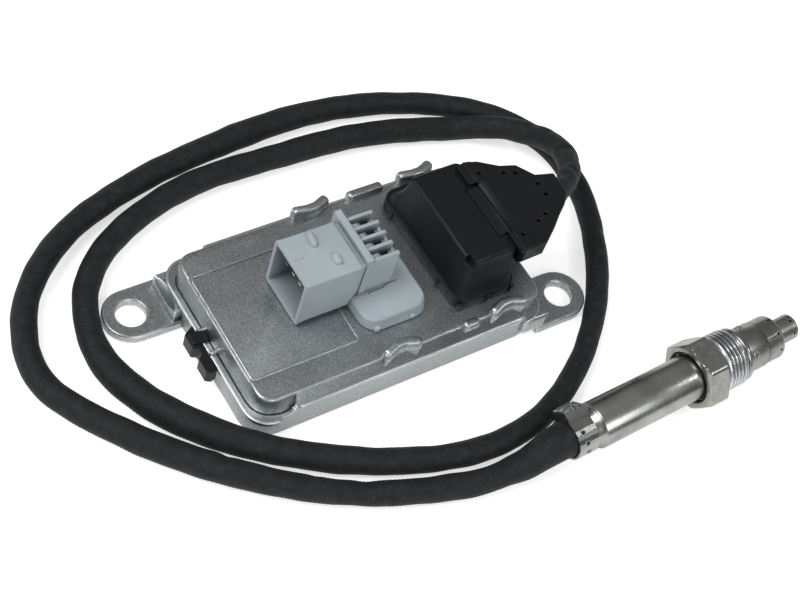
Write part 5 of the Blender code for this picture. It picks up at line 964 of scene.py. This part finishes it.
def add_disc(name, station, angle_deg, lift, radius, slot):
    """A small cap on a cylinder, domed by a tenth of its radius."""
    share = np.array([1.0, 0.75, 0.4, 0.05])[:, None]
    big = np.linspace(0, math.tau, 20, endpoint=False)[None, :]
    along, around = radius * share * np.cos(big), radius * share * np.sin(big)
    height = lift + radius * 0.1 * (1 - share ** 2) + 0 * along
    points = on_probe(station + along, height, math.radians(angle_deg) + around / lift)
    mesh = tube_mesh(name, points, np.linspace(0, 1, 4), True)
    weld(mesh)
    return add_piece(name, mesh, slot, "body", (), 60)


SHIELD_RADIUS = outer_radius("outer_shield")
shield_start, _ = stations("outer_shield")
half_way = shield_start + 0.0087
turned_ring("shield_sleeve", [(shield_start + 0.0006, SHIELD_RADIUS + 0.00002),
                              (shield_start + 0.0007, SHIELD_RADIUS + 0.00024),
                              (half_way - 0.0003, SHIELD_RADIUS + 0.00024),
                              (half_way, SHIELD_RADIUS + 0.00006),
                              (half_way + 0.00005, SHIELD_RADIUS - 0.0001),
                              (shield_start + 0.0007, SHIELD_RADIUS - 0.0001)], "worn_steel")
turned_ring("shield_groove", [(half_way, SHIELD_RADIUS - 0.0001), (half_way, SHIELD_RADIUS + 0.00003),
                              (half_way + 0.0003, SHIELD_RADIUS + 0.00003),
                              (half_way + 0.0003, SHIELD_RADIUS - 0.0001)], "rubber")
WELD_PLACES = ((0.0199, 43.7), (0.0211, 140.4), (0.0205, -76.0))
for number, (station, angle_deg) in enumerate(WELD_PLACES, 1):
    add_ring_mark(f"weld_mark_{number}", station, angle_deg, SHIELD_RADIUS + 0.00024, 0.0011, 0.00040,
                  "worn_steel")
    add_disc(f"weld_centre_{number}", station, angle_deg, SHIELD_RADIUS + 0.00026, 0.0005, "worn_steel")
BAND_RADIUS = 0.00715
DIMPLE_PLACES = ((-0.0526, 67.0), (-0.0519, 36.0), (-0.0511, 2.5))
for number, (station, angle_deg) in enumerate(DIMPLE_PLACES, 1):
    add_ring_mark(f"clamp_dimple_{number}", station, angle_deg, BAND_RADIUS + 0.00003, 0.00085, 0.00018,
                  "bright_steel")
    add_disc(f"clamp_hole_{number}", station, angle_deg, BAND_RADIUS + 0.00002, 0.00062, "rubber")


def on_buckle(station, across, lift):
    """Points on the buckle's flat top, across it from its middle and lifted off it."""
    turn = math.radians(BUCKLE_TURN_DEG)
    outward = math.cos(turn) * PROBE_SIDE + math.sin(turn) * PROBE_UP
    sideways = -math.sin(turn) * PROBE_SIDE + math.cos(turn) * PROBE_UP
    parts = ((station, PROBE_AXIS), (across, sideways), (BUCKLE_TOP + lift, outward))
    return PROBE_PIVOT + sum(np.asarray(size)[..., None] * way for size, way in parts)


def add_buckle_loop(name, centre, across, half_length, half_width, bead):
    """A raised loop on the buckle: a torus whose big circle is squashed to an oval."""
    big = np.linspace(0, math.tau, 32, endpoint=False)[:, None]
    small = np.linspace(0, math.tau, 8, endpoint=False)[None, :]
    squared = 1 / (np.abs(np.cos(big)) ** 4 + np.abs(np.sin(big)) ** 4) ** 0.25
    reach_along = half_length * squared + bead * np.cos(small)
    reach_across = half_width * squared + bead * np.cos(small)
    points = on_buckle(centre + reach_along * np.cos(big), across + reach_across * np.sin(big),
                       bead * 0.7 * np.sin(small) + 0 * big)
    points = np.concatenate([points, points[:1]])
    mesh = tube_mesh(name, points, np.linspace(0, 1, 33), False)
    weld(mesh)
    return add_piece(name, mesh, "bright_steel", "body", (), 60)


BUCKLE_TURN_DEG = 138
BUCKLE_TOP = 0.00955
clamp_rear, clamp_front = stations("cable_clamp")
add_buckle_loop("buckle_loop", -0.0514, -0.0008, 0.0019, 0.0015, 0.00030)
add_buckle_loop("buckle_rim", (clamp_rear + clamp_front) / 2, 0.0, 0.0035, 0.0030, 0.00022)
print("clamp from", round(clamp_rear, 4), "to", round(clamp_front, 4))

# %% [markdown]
# A pale floor and soft light finish the scene. The floor is white to the camera and to
# reflections, with the object's shadow kept. The world is dimmer than the floor, as in a photo
# studio, so flat metal tops go grey while metal sides pick up the bright table. It is dimmest
# near the horizon, which puts a dark band along the round tube.

# %% Floor and light
FLOOR_SIZE = 6
FLOOR_DROP = 0.0002
FLOOR_GLOW = 0.62
MIRRORED_SHARE = 0.45
OVERHEAD_STRENGTH = 0.26
HORIZON_STRENGTH = 0.10
FADE_HEIGHTS = (0.26, 0.64)
LAMPS = (
    # name, place, point aimed at, size, power
    ("key_left", (-0.9, 0.25, 1.3), (0, 0, 0), 0.9, 14),
    ("fill_front", (-0.1, -1.3, 0.9), (0, 0, 0), 0.7, 5),
    ("strip_right", (0.62, -0.60, 0.95), (0.09, -0.07, 0), 0.12, 1.7),
)


def make_floor():
    """A wide pale floor under the object."""
    bpy.ops.mesh.primitive_plane_add(size=FLOOR_SIZE, location=(0, 0, -FLOOR_DROP))
    floor = bpy.context.object
    floor.name = "floor"
    finish = Finish("floor_white", (0.90, 0.90, 0.90), 0.9)
    finish.set("Specular IOR Level", 0.0)
    finish.set("Emission Color", (1, 1, 1, 1))
    ray = finish.node("LightPath").outputs
    mirrored = finish.maths("MULTIPLY", ray["Is Glossy Ray"], MIRRORED_SHARE)
    seen = finish.maths("MAXIMUM", ray["Is Camera Ray"], mirrored)
    finish.link(finish.maths("MULTIPLY", seen, FLOOR_GLOW), "Emission Strength")
    floor.data.materials.append(finish.material)
    return floor


def add_lamp(name, place, aim, size, power):
    """A square soft lamp aimed at a point."""
    data = bpy.data.lights.new(name, "AREA")
    data.shape = "SQUARE"
    data.size = size
    data.energy = power
    lamp = bpy.data.objects.new(name, data)
    bpy.context.scene.collection.objects.link(lamp)
    lamp.location = place
    lamp.rotation_euler = (Vector(aim) - Vector(place)).to_track_quat("-Z", "Y").to_euler()
    return lamp


def light_the_world(overhead, horizon):
    """A dim surround that is darker near the horizon. The strength follows the height of the
    direction looked in, from the horizon's value at 15 degrees to the full value at 40."""
    world = bpy.data.worlds.new("studio")
    world.use_nodes = True
    tree = world.node_tree
    back = tree.nodes["Background"]
    back.inputs["Color"].default_value = (1, 1, 1, 1)
    direction = tree.nodes.new("ShaderNodeTexCoord").outputs["Generated"]
    parts = tree.nodes.new("ShaderNodeSeparateXYZ")
    tree.links.new(direction, parts.inputs[0])
    fade = tree.nodes.new("ShaderNodeMapRange")
    for place, value in zip((1, 2, 3, 4), (*FADE_HEIGHTS, horizon, overhead)):
        fade.inputs[place].default_value = value
    tree.links.new(parts.outputs["Z"], fade.inputs[0])
    tree.links.new(fade.outputs[0], back.inputs["Strength"])
    bpy.context.scene.world = world


make_floor()
light_the_world(OVERHEAD_STRENGTH, HORIZON_STRENGTH)
for lamp in LAMPS:
    add_lamp(*lamp)
bpy.context.scene.view_settings.view_transform = "Standard"
